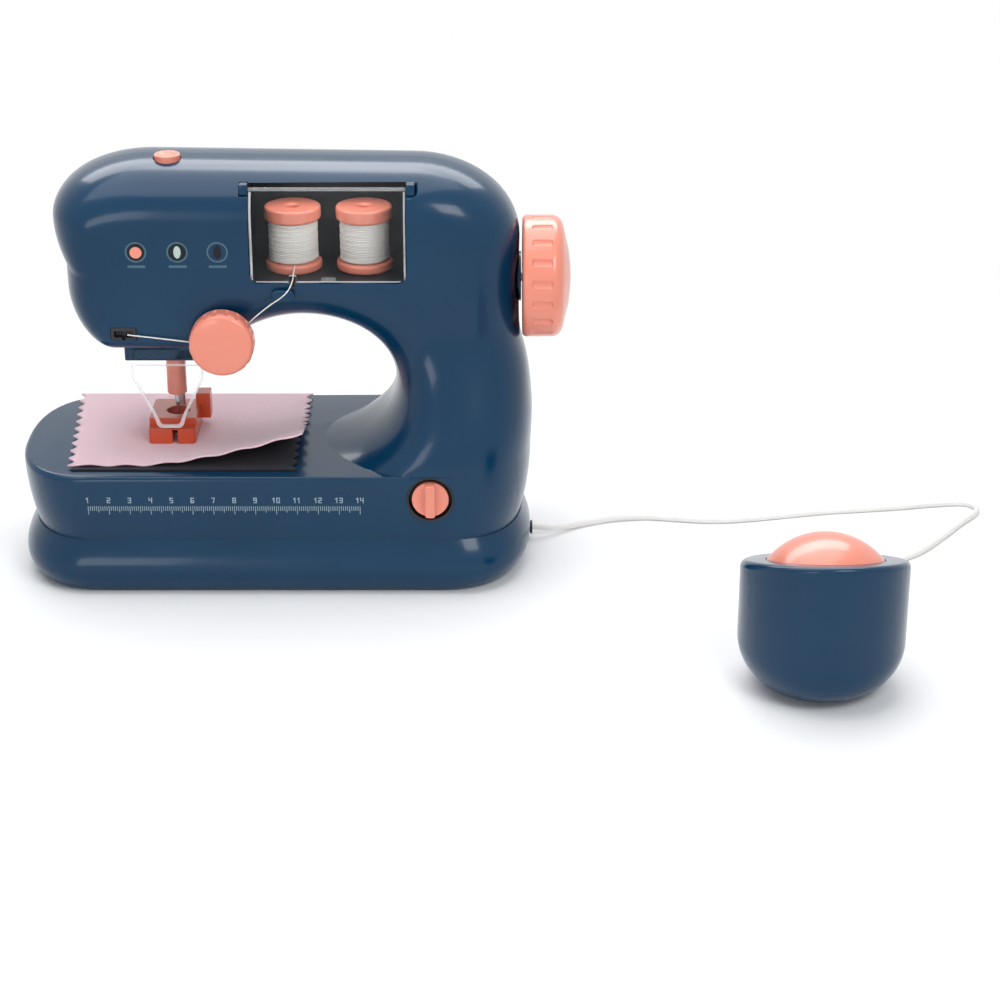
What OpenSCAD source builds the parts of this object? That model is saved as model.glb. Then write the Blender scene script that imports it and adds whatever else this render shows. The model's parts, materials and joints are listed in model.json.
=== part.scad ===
/* [Body] */
// half depth of the arm
arm_half = 36; // [34:0.5:40]
// height of the bed
bed_z = 61.5; // [60:0.5:64]
// rise of the head above the bed
head_rise = 54.5; // [52:0.5:57]
// wall of the moulded shells
wall = 2.5; // [2:0.1:3]
// half depth of the base at the bed
bed_half = 55; // [53:0.5:58]
// height of the crease between plinth and tub
crease_z = 27; // [25:0.5:29]

/* [Throat] */
// centre of the throat along X
throat_x = 18; // [15:0.5:20]
// half width of the throat
throat_a = 43; // [40:0.5:45]
// rise of the throat above its centre
throat_up = 32; // [29:0.5:33]

/* [Drive] */
// rise of the main shaft above the underside of the head
shaft_rise = 28; // [27:0.1:29]
// diameter of the main shaft
shaft_d = 5; // [4:0.1:5.2]
// radial play of a turning shaft
run_play = 0.05; // [0.03:0.01:0.08]
// radius of the handwheel
wheel_r = 29.3; // [26:0.1:32]
// width of the handwheel rim
wheel_w = 20; // [17:0.5:22]
// teeth of the drive gear
gear_teeth = 40; // [38:1:42]
// teeth of the motor pinion
pinion_teeth = 10; // [9:1:11]
// gear module
gear_mod = 1.25; // [1.2:0.01:1.3]

/* [Needle] */
// needle axis along X
needle_x = -47; // [-48:0.5:-46]
// needle bar diameter
bar_d = 9.6; // [8.5:0.1:10]
// crank throw
crank_throw = 8; // [6:0.5:9]
// width of the presser foot
foot_w = 23; // [21:0.5:25]
// presser bar diameter
presser_d = 5; // [4:0.1:5.5]

/* [Spools] */
// spool flange diameter
spool_d = 27; // [24:0.5:28]
// spool height
spool_h = 31; // [28:0.5:32]
// room between the spools and the arm top
spool_room = 24.3; // [23:0.1:26]
// spool pin diameter
pin_d = 6; // [5:0.1:7]
// radial play of a spool on its pin
spool_play = 0.1; // [0.06:0.01:0.1]
// turns in the outer thread layer
thread_turns = 12; // [10:1:13]

/* [Knobs] */
// tension knob radius
knob_r = 15.3; // [13:0.1:16]
// low switch knob radius
switch_r = 8.8; // [8:0.1:9.4]
// top button diameter
button_d = 12.4; // [11:0.1:13]
// gap round moving covers and buttons
gap = 0.5; // [0.4:0.05:0.6]

/* [Pedal] */
// pedal centre along X
pedal_x = 255.5; // [252:0.5:260]
// pedal centre along Y
pedal_y = -146; // [-150:1:-142]
// pedal radius
pedal_r = 37.5; // [36:0.5:39]
// tilt of the pedal top
pedal_tilt = 19.5; // [17:0.5:22]
// dome diameter
dome_d = 52; // [48:1:54]

/* [Hidden] */
$fn = 48;
eps = 0.02;

navy = "#2f4a66";
coral = "#ee9078";
steel = "#b9bec4";
black = "#17191d";

// heights, from the bed up
head_z = bed_z + head_rise;
throat_z = head_z - 19;
throat_low = throat_z - bed_z + 0.5;
shaft_z = head_z + shaft_rise;
floor_t = 2;
floor_z = shaft_z + shaft_d / 2 + 1;
spool_z = floor_z + floor_t + gap;
top_z = spool_z + spool_h + spool_room;
soft = 2.4;
boss_x = 120.7;

function clip(v, a, b) = max(a, min(b, v));
function smooth(t) = let (k = clip(t, 0, 1)) k * k * (3 - 2 * k);
// inset share at depth share t for a soft edge of power n
function inset(t, n) = 1 - pow(max(0, 1 - pow(t, n)), 1 / n);
// half depth of the body at height z
function half_at(z, g) = arm_half - g + (bed_half - arm_half) * smooth((head_z + 10 - z) / (head_rise + 9.5));
// x of the right side at height z
// right side of the column: rise above the bed, and X
side_pts = [[0, 126.7], [4.5, 127], [10.5, 127.3], [17.5, 127.4], [24.5, 127], [31.5, 126.3], [38.5, 125.4],
  [44.5, 124.2], [50.5, 122.6], [56.5, 121.3], [64.5, 120.8], [78.5, 120.7], [90.5, 120.7]];
corner_z = top_z - 40.3;
right_pts = concat([for (p = side_pts) [bed_z + p[0], p[1]]], [[corner_z, 121]]);
chin_z = head_z + 23;
// turn from the horizontal where the throat meets the bed
function toe_turn(g, e) = asin(clip((bed_z - throat_z) / (throat_low + g + e), -1, 1));

// one open chain of the C shaped body at depth share t; the wall w turns from sideways to straight back with t
function chain(t, w) = let (g = w * (1 - t * t),
    et = 26 * inset(t, 2.3),
    el = 23.5 * inset(t, 2.3), el2 = 18 * inset(t, 2.3),
    eb = 15 * inset(t, 4), eth = 25 * inset(t, soft), er = 38 * inset(t, soft),
    ta = throat_a + g + eth, tu = throat_up + g + eth, tl = throat_low + g + eth,
    toe = toe_turn(g, eth),
    hz = head_z + g + eb,
    hit = asin(clip((hz - throat_z) / tu, -1, 1)),
    hx = throat_x - ta * cos(hit),
    cl = -54, cz = top_z - 27.3, rw = 70, rz = corner_z)
  concat(
    [for (p = right_pts) [p[1] - g - er, p[0]]],
    [for (a = [11.25 : 11.25 : 90]) [rw + (51 - g - er) * cos(a), rz + (top_z - 1.8 - rz - g - et) * sin(a)]],
    [for (k = [1 : 5]) let (s = k / 6) [rw + (cl - rw) * s, top_z - 1.8 * (1 - s) - g - et]],
    [for (a = [90 : 10 : 180]) [cl + (46.5 - g - el) * cos(a), cz + (27.3 - g - et) * sin(a)]],
    [for (k = [1 : 3]) let (z = cz - 27 * k / 3)
      [cl - (46.5 - g - el) * sqrt(1 - pow((cz - z) / 58.8, 2)), z]],
    [[-95.3 + g + el2, cz - 33]],
    [for (a = [180 : 15 : 270]) [-75 + (20.3 - g - el2) * cos(a), chin_z + (chin_z - hz) * sin(a)]],
    [for (k = [1 : 4]) [-75 + (hx + 75) * k / 5, hz]],
    [for (k = [0 : 8]) let (a = 180 - hit + (90 - 180 + hit) * k / 8)
      [throat_x + ta * cos(a), throat_z + tu * sin(a)]],
    [for (k = [1 : 6]) let (a = 90 - 90 * k / 6) [throat_x + ta * cos(a), throat_z + tu * sin(a)]],
    [for (k = [1 : 8]) let (a = toe * k / 8) [throat_x + ta * cos(a), k == 8 ? bed_z : throat_z + tl * sin(a)]]);

depths = [0, 0.3, 0.55, 0.75, 0.88, 0.965, 1];
// points of one skin of a half shell, side -1 in front and 1 behind
function skin(g, side) = [for (t = depths) for (p = chain(t, g)) [p[0], side * t * half_at(p[1], g), p[1]]];
function tri(a, b, c, d, flip) = flip ? [[a, b, c], [a, c, d]] : [[a, c, b], [a, d, c]];

module half_shell(side) {
  n = len(chain(0, 0));
  r = len(depths);
  pairs = 13;
  out = skin(0, side);
  inn = skin(wall, side);
  q = n * r;
  f = side > 0;
  faces = concat(
    [for (k = [0 : r - 2]) for (i = [0 : n - 2])
      each tri(k * n + i, k * n + i + 1, (k + 1) * n + i + 1, (k + 1) * n + i, f)],
    [for (k = [0 : r - 2]) for (i = [0 : n - 2])
      each tri(q + k * n + i, q + k * n + i + 1, q + (k + 1) * n + i + 1, q + (k + 1) * n + i, !f)],
    // front face: strips over the column, one flat face over the arm
    [for (h = [0, 1]) for (j = [0 : pairs - 1]) let (b = h * q + (r - 1) * n)
      each tri(b + j, b + j + 1, b + n - 2 - j, b + n - 1 - j, h == 0 ? f : !f)],
    [for (h = [0, 1]) let (b = h * q + (r - 1) * n, up = [for (i = [pairs : n - 1 - pairs]) b + i])
      (h == 0) == f ? up : [for (i = [len(up) - 1 : -1 : 0]) up[i]]],
    // parting rim and the rim that stands on the bed
    [for (i = [0 : n - 2]) each tri(i, q + i, q + i + 1, i + 1, f)],
    [for (k = [0 : r - 2]) each tri(k * n, (k + 1) * n, q + (k + 1) * n, q + k * n, f)],
    [for (k = [0 : r - 2]) each tri(k * n + n - 1, q + k * n + n - 1, q + (k + 1) * n + n - 1, (k + 1) * n + n - 1, f)],
    tri((r - 1) * n, (r - 1) * n + n - 1, q + (r - 1) * n + n - 1, q + (r - 1) * n, f));
  polyhedron(concat(out, inn), faces);
}

// window opening in the arm
win_x0 = -5.5;
win_x1 = 68;
win_r = 4;
win_z0 = floor_z + 4.5;
win_z1 = top_z - 7.3;
// y of the outer face of the arm near its top, offset g into the wall
function front_t(z) = let (c = clip((top_z - z) / 26, 0, 1)) pow(1 - pow(1 - c, 2.3), 1 / 2.3);
function front_y(z) = -arm_half * front_t(z);
// hinge axis of the window cover, just under the face
hinge_z = top_z - 9.7;
hinge_y = front_y(hinge_z) + 1.3;
hinge_r = 0.8;
hinge_w = 4;

module box(a, b) { translate(a) cube(b - a); }
module along_x(x0, x1) { translate([x0, 0, 0]) rotate([90, 0, 90]) linear_extrude(x1 - x0) children(); }
module rod_x(x0, x1, y, z, d) { translate([x0, y, z]) rotate([0, 90, 0]) cylinder(d = d, h = x1 - x0); }
module rod_y(y0, y1, x, z, d) { translate([x, y1, z]) rotate([90, 0, 0]) cylinder(d = d, h = y1 - y0); }
module rod_z(z0, z1, x, y, d) { translate([x, y, z0]) cylinder(d = d, h = z1 - z0); }

// places that several pieces share
tension_x = -19;
tension_z = head_z + 9;
tension_d = 17;
bush_d = 18;
button_x = -44.7;
button_y = -8;
button_hole = button_d + 2 * gap;
block_x0 = -69;
block_x1 = -34;
block_y0 = -18.4;
block_y1 = 15;
block_z0 = head_z - 9;
block_z1 = head_z + 5;
guide_x = 10;
thread_x = 14.5;
guide_z = win_z0 - 5.5;
hook_x = -66;
hook_z = head_z + 11;
screw_at = [[-80, head_z + 49], [85, top_z - 27.3], [100, bed_z + 13.5], [-30, head_z + 34]];
screw_d = 6;

seat_gap = 0.15;
ledge_gap = 1.6;
notch_w = 2.6;
// opening through the face with soft corners, from y0 to y1, with radius t at its top corners
module port_y(x0, z0, x1, z1, r, y0, y1, t = 0) {
  u = t > 0 ? t : r;
  hull() {
    for (x = [x0 + r, x1 - r]) rod_y(y0, y1, x, z0 + r, 2 * r, $fn = 20);
    for (x = [x0 + u, x1 - u]) rod_y(y0, y1, x, z1 - u, 2 * u, $fn = 20);
  }
}
// opening in the underside of the head for the block
module block_port() {
  g = seat_gap;
  r = 0.4;
  hull() for (x = [block_x0 - g + r, block_x1 + g - r]) for (y = [block_y0 - g + r, block_y1 + g - r])
    rod_z(block_z0 - 7, block_z1 + g, x, y, 2 * r, $fn = 12);
}
module front_shell() {
  color(navy) difference() {
    half_shell(-1);
    port_y(win_x0, win_z0, win_x1, win_z1, win_r, -arm_half - 24, -10, 0.6);
    port_y(thread_x - notch_w / 2, win_z0 - 2.4, thread_x + notch_w / 2, win_z0 + 1, 1.1, -arm_half - 24, -20);
    for (x = [win_x0 - hinge_w, win_x1])
      port_y(x - seat_gap, hinge_z - 2.6 - seat_gap, x + hinge_w + seat_gap, hinge_z + 2.6 + seat_gap, 0.3,
        hinge_y - 6, hinge_y + 3.8);
    port_y(guide_x - 4.5 - seat_gap, guide_z - 1.5 - seat_gap, guide_x + 4.5 + seat_gap, guide_z + 1.5 + seat_gap, 1.5,
      -arm_half - 14, -arm_half + 6);
    port_y(hook_x - 6 - seat_gap, hook_z - 3 - seat_gap, hook_x + 6 + seat_gap, hook_z + 3 + seat_gap, 0.3,
      -arm_half - 14, -arm_half + 8);
    hull() {
      rod_z(top_z - 15.3, top_z - 2.3, button_x, button_y, button_hole);
      rod_z(top_z + 0.7, top_z + 1.7, button_x, button_y, button_hole + 2);
    }
    block_port();
    rod_y(-arm_half - 24, -arm_half + 14, tension_x, tension_z, tension_d + 2 * seat_gap);
    rod_x(110, 130, 0, shaft_z, bush_d + 2 * seat_gap);
  }
}
// plan of the cover, in X and Z, open at the top
function corner(cx, cz, r, a) = [for (k = [0 : 4]) [cx + r * cos(a + 22.5 * k), cz + r * sin(a + 22.5 * k)]];
function soft_rect(x0, z0, x1, z1, r) = concat(corner(x1 - r, z1 - r, r, 0), corner(x0 + r, z1 - r, r, 90),
  corner(x0 + r, z0 + r, r, 180), corner(x1 - r, z0 + r, r, 270));
module window_plan() { polygon(soft_rect(win_x0 + gap, win_z0 + gap, win_x1 - gap, top_z + 20, win_r - gap)); }
module rear_shell() {
  color(navy) difference() {
    half_shell(1);
    block_port();
    rod_x(110, 130, 0, shaft_z, bush_d + 2 * seat_gap);
    for (q = screw_at) hull() {
      rod_y(arm_half - 16, arm_half - 6, q[0], q[1], screw_d + 2 * seat_gap, $fn = 24);
      rod_y(bed_half + 5, bed_half + 15, q[0], q[1], screw_d + 2 * seat_gap, $fn = 24);
    }
    for (k = [0 : 4]) port_y(76, bed_z + 27.2 + 6 * k, 101, bed_z + 29.6 + 6 * k, 1.1, arm_half - 6, bed_half + 15);
  }
}

// plan ring of the base: xl and xr ends, d half depth, e corner run, z height, f top inset on the open bed
ring_n = 64;
function plan_pt(k, xl, xr, d, e) = let (a = 360 * (k + 0.5) / ring_n, c = cos(a), s = sin(a),
    u = e * pow(abs(c), 2 / soft), v = d * pow(abs(s), 2 / soft))
  [c > 0 ? xr - e + u : xl + e - u, s > 0 ? v : -v];
function plan_ring(xl, xr, d, e, z, f) = [for (k = [0 : ring_n - 1]) let (p = plan_pt(k, xl, xr, d, e),
    w = f * (1 - smooth((p[0] - 50) / 14)), m = (xl + xr) / 2)
  [p[0] - w * sign(p[0] - m) * pow(abs(p[0] - m) / (xr - m), 6), p[1] * (1 - w / d), z]];
// closed solid through a list of rings, flat at both ends
module rings_solid(rings) {
  m = len(rings[0]);
  n = len(rings);
  polyhedron([for (r = rings) each r], concat(
    [[for (j = [0 : m - 1]) j]], [[for (j = [m - 1 : -1 : 0]) (n - 1) * m + j]],
    [for (i = [0 : n - 2]) for (j = [0 : m - 1]) let (a = i * m + j, b = i * m + (j + 1) % m)
      each [[a, a + m, b], [b, a + m, b + m]]]));
}
// tube through a list of rings, open at both ends and closed round
module rings_tube(rings) {
  m = len(rings[0]);
  n = len(rings);
  polyhedron([for (r = rings) each r],
    [for (i = [0 : n - 1]) for (j = [0 : m - 1]) let (a = i * m + j, b = i * m + (j + 1) % m,
      c = ((i + 1) % n) * m + j, d = ((i + 1) % n) * m + (j + 1) % m) each [[a, c, b], [b, c, d]]]);
}
er = 38;
function tub_ring(z, g, f) = let (k = (z - crease_z) / (bed_z - crease_z), b = 1 - pow(1 - k, 2))
  plan_ring(-117.5 - 4.5 * b + g, 122 + 4.7 * b - g, bed_half - 4.5 + 4.5 * b - g, er - g, z, f);
function plinth_ring(z, g) = let (k = z / crease_z, b = sin(180 * pow(k, 0.85)) * 6 + k * 0.5)
  plan_ring(-117.5 - b + g, 119 + b + 3 * k - g, 50 + b - g, er - g, z, 0);
switch_x = 78.3;
switch_z = bed_z - 11.8;
cup_r = switch_r + 2.7;
plate_w = 36;
plate_d = 28;
needle_hole = 5;

module bed_tub() {
  color(navy) difference() {
    rings_solid(concat([for (z = [bed_z - wall, crease_z]) tub_ring(z, wall, 0)],
      [for (k = [0 : 4]) tub_ring(crease_z + (bed_z - 3 - crease_z) * k / 4, 0, 0)],
      [tub_ring(bed_z - 1.2, 0, 0.8), tub_ring(bed_z, 0, 2.6)]));
    box([needle_x - plate_w / 2, -plate_d / 2, bed_z - 1.5], [needle_x + plate_w / 2, plate_d / 2, bed_z + 5]);
    rod_z(bed_z - 11, bed_z + 9, needle_x, 0, 12);
    rod_y(-bed_half - 5, -bed_half + 10, switch_x, switch_z, 2 * cup_r);
    box([80, -12, bed_z - 11], [108, 12, bed_z + 9]);
  }
}
module plinth() {
  color(navy) difference() {
    rings_tube(concat([for (k = [0 : 7]) plinth_ring(crease_z * k / 7, 0)],
      [for (k = [4 : -1 : 0]) plinth_ring(crease_z * k / 4, wall)]));
    rod_x(100, 140, cord_y, cord_z, gland_d);
  }
}
// battery bay in the bottom plate
bay_x0 = 22;
bay_x1 = 82;
bay_y = 27;
bay_z = 19;
door_t = 2.5;
plate_t = 3;
module bottom_plate() {
  color(black) difference() {
    union() {
      linear_extrude(plate_t) polygon([for (p = plinth_ring(0, wall)) [p[0] * 0.9995, p[1] * 0.9995]]);
      box([bay_x0 - 2, -bay_y - 2, plate_t - eps], [bay_x1 + 2, bay_y + 2, bay_z + 2]);
    }
    box([bay_x0, -bay_y, -1], [bay_x1, bay_y, bay_z]);
    for (x = [bay_x0 - 4, bay_x1]) box([x, -8, -1], [x + 4, 8, door_t]);
  }
}
module battery_door() {
  color(black) union() {
    box([bay_x0 + gap, -bay_y + gap, 0], [bay_x1 - gap, bay_y - gap, door_t]);
    for (x = [bay_x0 - 4, bay_x1 - gap]) box([x + (x < 50 ? gap : 0), -8 + gap, 0], [x + 4 + (x < 50 ? gap : 0), 8 - gap, door_t]);
  }
}
module battery_contacts() {
  color(steel) for (y = [-18, 0, 18]) {
    box([bay_x0, y - 5, 5], [bay_x0 + 0.6, y + 5, 16]);
    box([bay_x1 - 0.6, y - 5, 5], [bay_x1, y + 5, 16]);
    rod_x(bay_x1 - 5, bay_x1 - 0.6 + eps, y, 10.5, 5);
  }
}

// spool tray with two pins
tray_x0 = win_x0 - 3.5;
tray_x1 = win_x1 + 3.5;
spool_at = [13, 47];
spool_y = -5;
tray_y0 = -arm_half + 5;
tray_y1 = spool_y + spool_d / 2 + 8.5;
module tray_side(g) {
  open = g > 0 ? 30 : 0;
  polygon([[tray_y0 + g - open, floor_z + g], [tray_y0 + g - open, top_z - 21.3], [tray_y0 + g, top_z - 21.3],
    [tray_y0 + 3 + g, top_z - 16.3 - g], [tray_y0 + 9 + g, top_z - 11.3 - g], [tray_y0 + 17, top_z - 7.3 - g],
    [tray_y1 - g, top_z - 7.3 - g], [tray_y1 - g, floor_z + g]]);
}
module spool_tray() {
  color(black) union() {
    difference() {
      along_x(tray_x0, tray_x1) tray_side(0);
      along_x(tray_x0 + 1.6, tray_x1 - 1.6) tray_side(floor_t);
      for (x = [win_x0 - hinge_w, win_x1])
        box([x - 1, -arm_half - 24, hinge_z - 8], [x + hinge_w + 1, hinge_y + 9, top_z + 15]);
    }
    box([tray_x0, -arm_half + wall + ledge_gap, floor_z], [tray_x1, tray_y0 + 1, floor_z + floor_t]);
    box([tray_x0, tray_y1 - 1, floor_z], [tray_x1, arm_half - wall - ledge_gap, floor_z + floor_t]);
    for (x = spool_at) rod_z(floor_z + 1, spool_z + spool_h - 6, x, spool_y, pin_d);
  }
}
module hinge_blocks() {
  color(navy) difference() {
    for (x = [win_x0 - hinge_w, win_x1])
      box([x, hinge_y - 2, hinge_z - 2.6], [x + hinge_w, hinge_y + 3.6, hinge_z + 2.6]);
    rod_x(win_x0 - 20, win_x1 + 20, hinge_y, hinge_z, 2 * (hinge_r + run_play));
  }
}
// clear cover that follows the face of the arm
cover_t = 2;
cover_zs = [for (k = [0 : 12]) win_z0 + gap + (hinge_z - win_z0 - gap) * k / 12];
function cover_n(z) = let (d = (front_y(z + 0.1) - front_y(z - 0.1)) / 0.2, l = sqrt(1 + d * d)) [1 / l, -d / l];
module cover_side() {
  polygon(concat([for (z = cover_zs) [front_y(z) + 0.3, z]], [for (k = [12 : -1 : 0])
    let (z = cover_zs[k], n = cover_n(z)) [front_y(z) + 0.3 + cover_t * n[0], z + cover_t * n[1]]]));
}
module window_cover() {
  color("#cfe0ea", 0.35) union() {
    difference() {
      intersection() {
        along_x(win_x0 + gap, win_x1 - gap) cover_side();
        rotate([90, 0, 0]) linear_extrude(arm_half + 24) window_plan();
      }
      box([thread_x - 1.8, -arm_half - 24, win_z0 - 1], [thread_x + 1.8, -20, win_z0 + 3.6]);
    }
    rod_x(win_x0 + gap, win_x1 - gap, hinge_y, hinge_z, 2);
    rod_x(win_x0 - hinge_w + 0.8, win_x1 + hinge_w - 0.8, hinge_y, hinge_z, 2 * hinge_r);
    box([28, -arm_half - 1.6, win_z0 + 1.2], [35, -arm_half + 1.2, win_z0 + 3]);
  }
}
// spool: bored reel with two flanges
core_r = 7;
flange_t = 2.4;
module spool(i) {
  color(coral) translate([spool_at[i], spool_y, spool_z]) rotate_extrude() polygon([
    [pin_d / 2 + spool_play, 0], [spool_d / 2 - 0.6, 0], [spool_d / 2, 0.6], [spool_d / 2, flange_t - 0.6],
    [spool_d / 2 - 0.6, flange_t], [core_r, flange_t], [core_r, spool_h - flange_t],
    [spool_d / 2 - 0.6, spool_h - flange_t], [spool_d / 2, spool_h - flange_t + 0.6],
    [spool_d / 2, spool_h - 0.6], [spool_d / 2 - 0.6, spool_h], [pin_d / 2 + spool_play + 1, spool_h],
    [pin_d / 2 + spool_play, spool_h - 1]]);
}
module spool_1() { spool(0); }
module spool_2() { spool(1); }
// thread pack: plain core with one helical outer layer
pack_r = spool_d / 2 - 3.6;
pack_h = spool_h - 2 * flange_t - 0.8;
loop_pitch = (pack_h - 2.4) / thread_turns;
strand_r = loop_pitch * 0.5 - 0.22;
strand_rings = 18;
lay_gap = 0.25;
module helix(turns, pitch, r, w, sides, per) {
  n = turns * per;
  pts = [for (i = [0 : n]) let (a = 360 * i / per) for (j = [0 : sides - 1]) let (b = 360 * j / sides,
    d = r + w * cos(b)) [d * cos(a), d * sin(a), pitch * i / per + w * sin(b)]];
  polyhedron(pts, concat([[for (j = [0 : sides - 1]) j]], [[for (j = [sides - 1 : -1 : 0]) n * sides + j]],
    [for (i = [0 : n - 1]) for (j = [0 : sides - 1]) let (a = i * sides + j, b = i * sides + (j + 1) % sides)
      each [[a, b, a + sides], [b, b + sides, a + sides]]]));
}
module thread_pack(i) {
  color("white") translate([spool_at[i], spool_y, spool_z + flange_t + 0.4]) difference() {
    cylinder(r = pack_r, h = pack_h);
    translate([0, 0, -1]) cylinder(r = core_r, h = pack_h + 2);
  }
}
module winding(i) {
  color("white") translate([spool_at[i], spool_y, spool_z + flange_t + 1.6])
    helix(thread_turns, loop_pitch, pack_r + strand_r + lay_gap, strand_r, 6, strand_rings);
}
module thread_pack_1() { thread_pack(0); }
module thread_pack_2() { thread_pack(1); }
module winding_1() { winding(0); }
module winding_2() { winding(1); }
// least distance between points of neighbouring turns
function turn_points(i) = [for (k = [0 : strand_rings - 1]) for (j = [0 : 5]) let (a = 360 * k / strand_rings,
  d = pack_r + strand_r + strand_r * cos(60 * j))
  [d * cos(a), d * sin(a), loop_pitch * (i + k / strand_rings) + strand_r * sin(60 * j)]];
echo("winding self gap", min([for (a = turn_points(0)) for (b = turn_points(1)) norm(a - b)]));

module throat_plate() {
  color(steel) difference() {
    box([needle_x - plate_w / 2, -plate_d / 2, bed_z - 1.5], [needle_x + plate_w / 2, plate_d / 2, bed_z]);
    rod_z(bed_z - 11, bed_z + 9, needle_x, 0, needle_hole);
    for (x = [-6, 6]) box([needle_x + x - 1, -9, bed_z - 11], [needle_x + x + 1, 9, bed_z + 9]);
  }
}
// head block guides the needle bar and the presser bar
presser_y = 10;
module head_block() {
  color(navy) difference() {
    box([block_x0, block_y0, block_z0], [block_x1, block_y1, block_z1]);
    rod_z(block_z0 - 7, block_z1 + 9, needle_x, 0, bar_d + 2 * run_play);
    rod_z(block_z0 - 7, block_z1 + 9, needle_x, presser_y, presser_d + 2 * run_play);
  }
}
// clear guard: a V frame in front of the needle
guard_y0 = block_y0 - 1.6;
guard_z1 = block_z0 + 7;
guard_top = 17.5;
guard_low = 6;
guard_z0 = guard_z1 - 41;
module guard_plan(g) {
  polygon([[-guard_top + g, guard_z1 - (g > 0 ? 9 : 0)], [-guard_top + g, guard_z1 - 15], [-guard_low - 2 + g, guard_z0 + 7],
    [-guard_low + g, guard_z0 + g], [guard_low - g, guard_z0 + g], [guard_low + 2 - g, guard_z0 + 7],
    [guard_top - g, guard_z1 - 15], [guard_top - g, guard_z1 - (g > 0 ? 9 : 0)]]);
}
module needle_guard() {
  color("#dfe9ee", 0.4) translate([needle_x - 1.5, block_y0, 0]) rotate([90, 0, 0]) difference() {
    linear_extrude(1.6) guard_plan(0);
    translate([0, 0, 0.8]) linear_extrude(5) guard_plan(1.6);
  }
}
module thread_guide() {
  color(coral) union() {
    translate([guide_x, -arm_half, guide_z]) rotate([90, 0, 0]) linear_extrude(2.4)
      polygon(soft_rect(-5.4, -2.7, 5.4, 2.7, 2.6));
    for (s = [-3, 3]) rod_y(-arm_half - 1, -arm_half + wall, guide_x + s, guide_z, 3);
  }
}
module hook_guide() {
  color(black) difference() {
    box([hook_x - 6, -arm_half - 0.4, hook_z - 3], [hook_x + 6, -arm_half + wall + 2, hook_z + 3]);
    box([hook_x - 4.5, -arm_half - 24, hook_z - 1.6], [hook_x + 4.5, -arm_half + wall + 0.5, hook_z + 1.6]);
    box([hook_x - 0.8, -arm_half - 24, hook_z - 5], [hook_x + 0.8, -arm_half + wall + 0.5, hook_z]);
  }
}
// tension knob turns on a stud of its post
stud_d = 5;
knob_y0 = -arm_half - 1.8;
knob_t = 11;
module tension_post() {
  color(navy) union() {
    rod_y(-arm_half - 0.4, -arm_half + 12, tension_x, tension_z, tension_d);
    rod_y(knob_y0 - 7, -arm_half + 6, tension_x, tension_z, stud_d);
  }
}
module tension_knob() {
  color(coral) difference() {
    translate([tension_x, knob_y0, tension_z]) rotate([90, 0, 0]) rotate_extrude() polygon(concat(
      [[0, 0], [knob_r - 1, 0], [knob_r, 1]],
      [for (k = [0 : 5]) [knob_r - 0.4 - 2.4 * (1 - cos(15 * k)) , knob_t - 3.4 + 2.4 * sin(15 * k)]],
      [[knob_r * 0.6, knob_t - 0.3], [0, knob_t]]));
    rod_y(knob_y0 - 7.6, knob_y0 + 1, tension_x, tension_z, stud_d + 2 * run_play);
    for (k = [0 : 17]) let (a = 20 * k)
      rod_y(knob_y0 - knob_t + 1.5, knob_y0 - 1.4, tension_x + (knob_r + 0.9) * cos(a), tension_z + (knob_r + 0.9) * sin(a), 2.8);
  }
}
// low rotary switch
cup_y = -bed_half + 8;
sw_d = 4;
module switch_cup() {
  color(black) difference() {
    rod_y(-bed_half + 0.7, cup_y, switch_x, switch_z, 2 * cup_r);
    rod_y(-bed_half - 15, cup_y - 2, switch_x, switch_z, 2 * (cup_r - 1.2));
    rod_y(-bed_half - 15, 0, switch_x, switch_z, sw_d + 2 * run_play);
  }
}
module rotary_switch() {
  color("#2d5a3a") difference() {
    box([switch_x - 9, cup_y, switch_z - 9], [switch_x + 9, cup_y + 9, switch_z + 9]);
    rod_y(-bed_half - 15, cup_y + 6, switch_x, switch_z, sw_d + 2 * gap);
  }
}
module switch_knob() {
  color(coral) union() {
    difference() {
      translate([switch_x, cup_y - 2.6, switch_z]) rotate([90, 0, 0]) union() {
        cylinder(r = switch_r, h = 8.4);
        linear_extrude(8.4) polygon([[-5, -6], [0, -switch_r - 1], [5, -6]]);
      }
      for (s = [-1, 1]) translate([switch_x + s * 2.2, cup_y - 7, switch_z - 12])
        box([s < 0 ? -12 : 0, -8, 0], [s < 0 ? 0 : 12, 0, 24]);
    }
    rod_y(cup_y - 3, cup_y + 4, switch_x, switch_z, sw_d);
  }
}
// inner frames and drive
gear_r = gear_mod * gear_teeth / 2;
pinion_r = gear_mod * pinion_teeth / 2;
motor_z = shaft_z - gear_r - pinion_r;
gear_x = 97;
gear_w = 6;
pin_shaft = 3;
inner_half = arm_half - wall;
frame_half = inner_half - 2.2;
yoke_h = 6.5;
module bulkhead() {
  color("#3a3f46") difference() {
    union() {
      box([-20, -frame_half, shaft_z - 3], [-16, frame_half, shaft_z + 18]);
      box([-17, -10, floor_z + floor_t], [tray_x0, 10, shaft_z + 18]);
    }
    rod_x(-30, 0, 0, shaft_z, shaft_d + 2 * run_play);
  }
}
module gear_frame() {
  color("#3a3f46") difference() {
    union() {
      box([93, -frame_half, shaft_z - 8], [96, frame_half, shaft_z + 20]);
      box([93, -14, motor_z - 13], [96, 14, shaft_z - 4]);
    }
    rod_x(80, 100, 0, shaft_z, shaft_d + 2 * run_play);
    rod_x(80, 100, 0, motor_z, pin_shaft + 2 * run_play);
  }
}
module wheel_bush() {
  color(navy) difference() {
    union() {
      rod_x(112, boss_x + 0.2, 0, shaft_z, bush_d);
      rod_x(boss_x, boss_x + 1, 0, shaft_z, bush_d + 6);
    }
    rod_x(100, 140, 0, shaft_z, shaft_d + 2 * run_play);
  }
}
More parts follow.
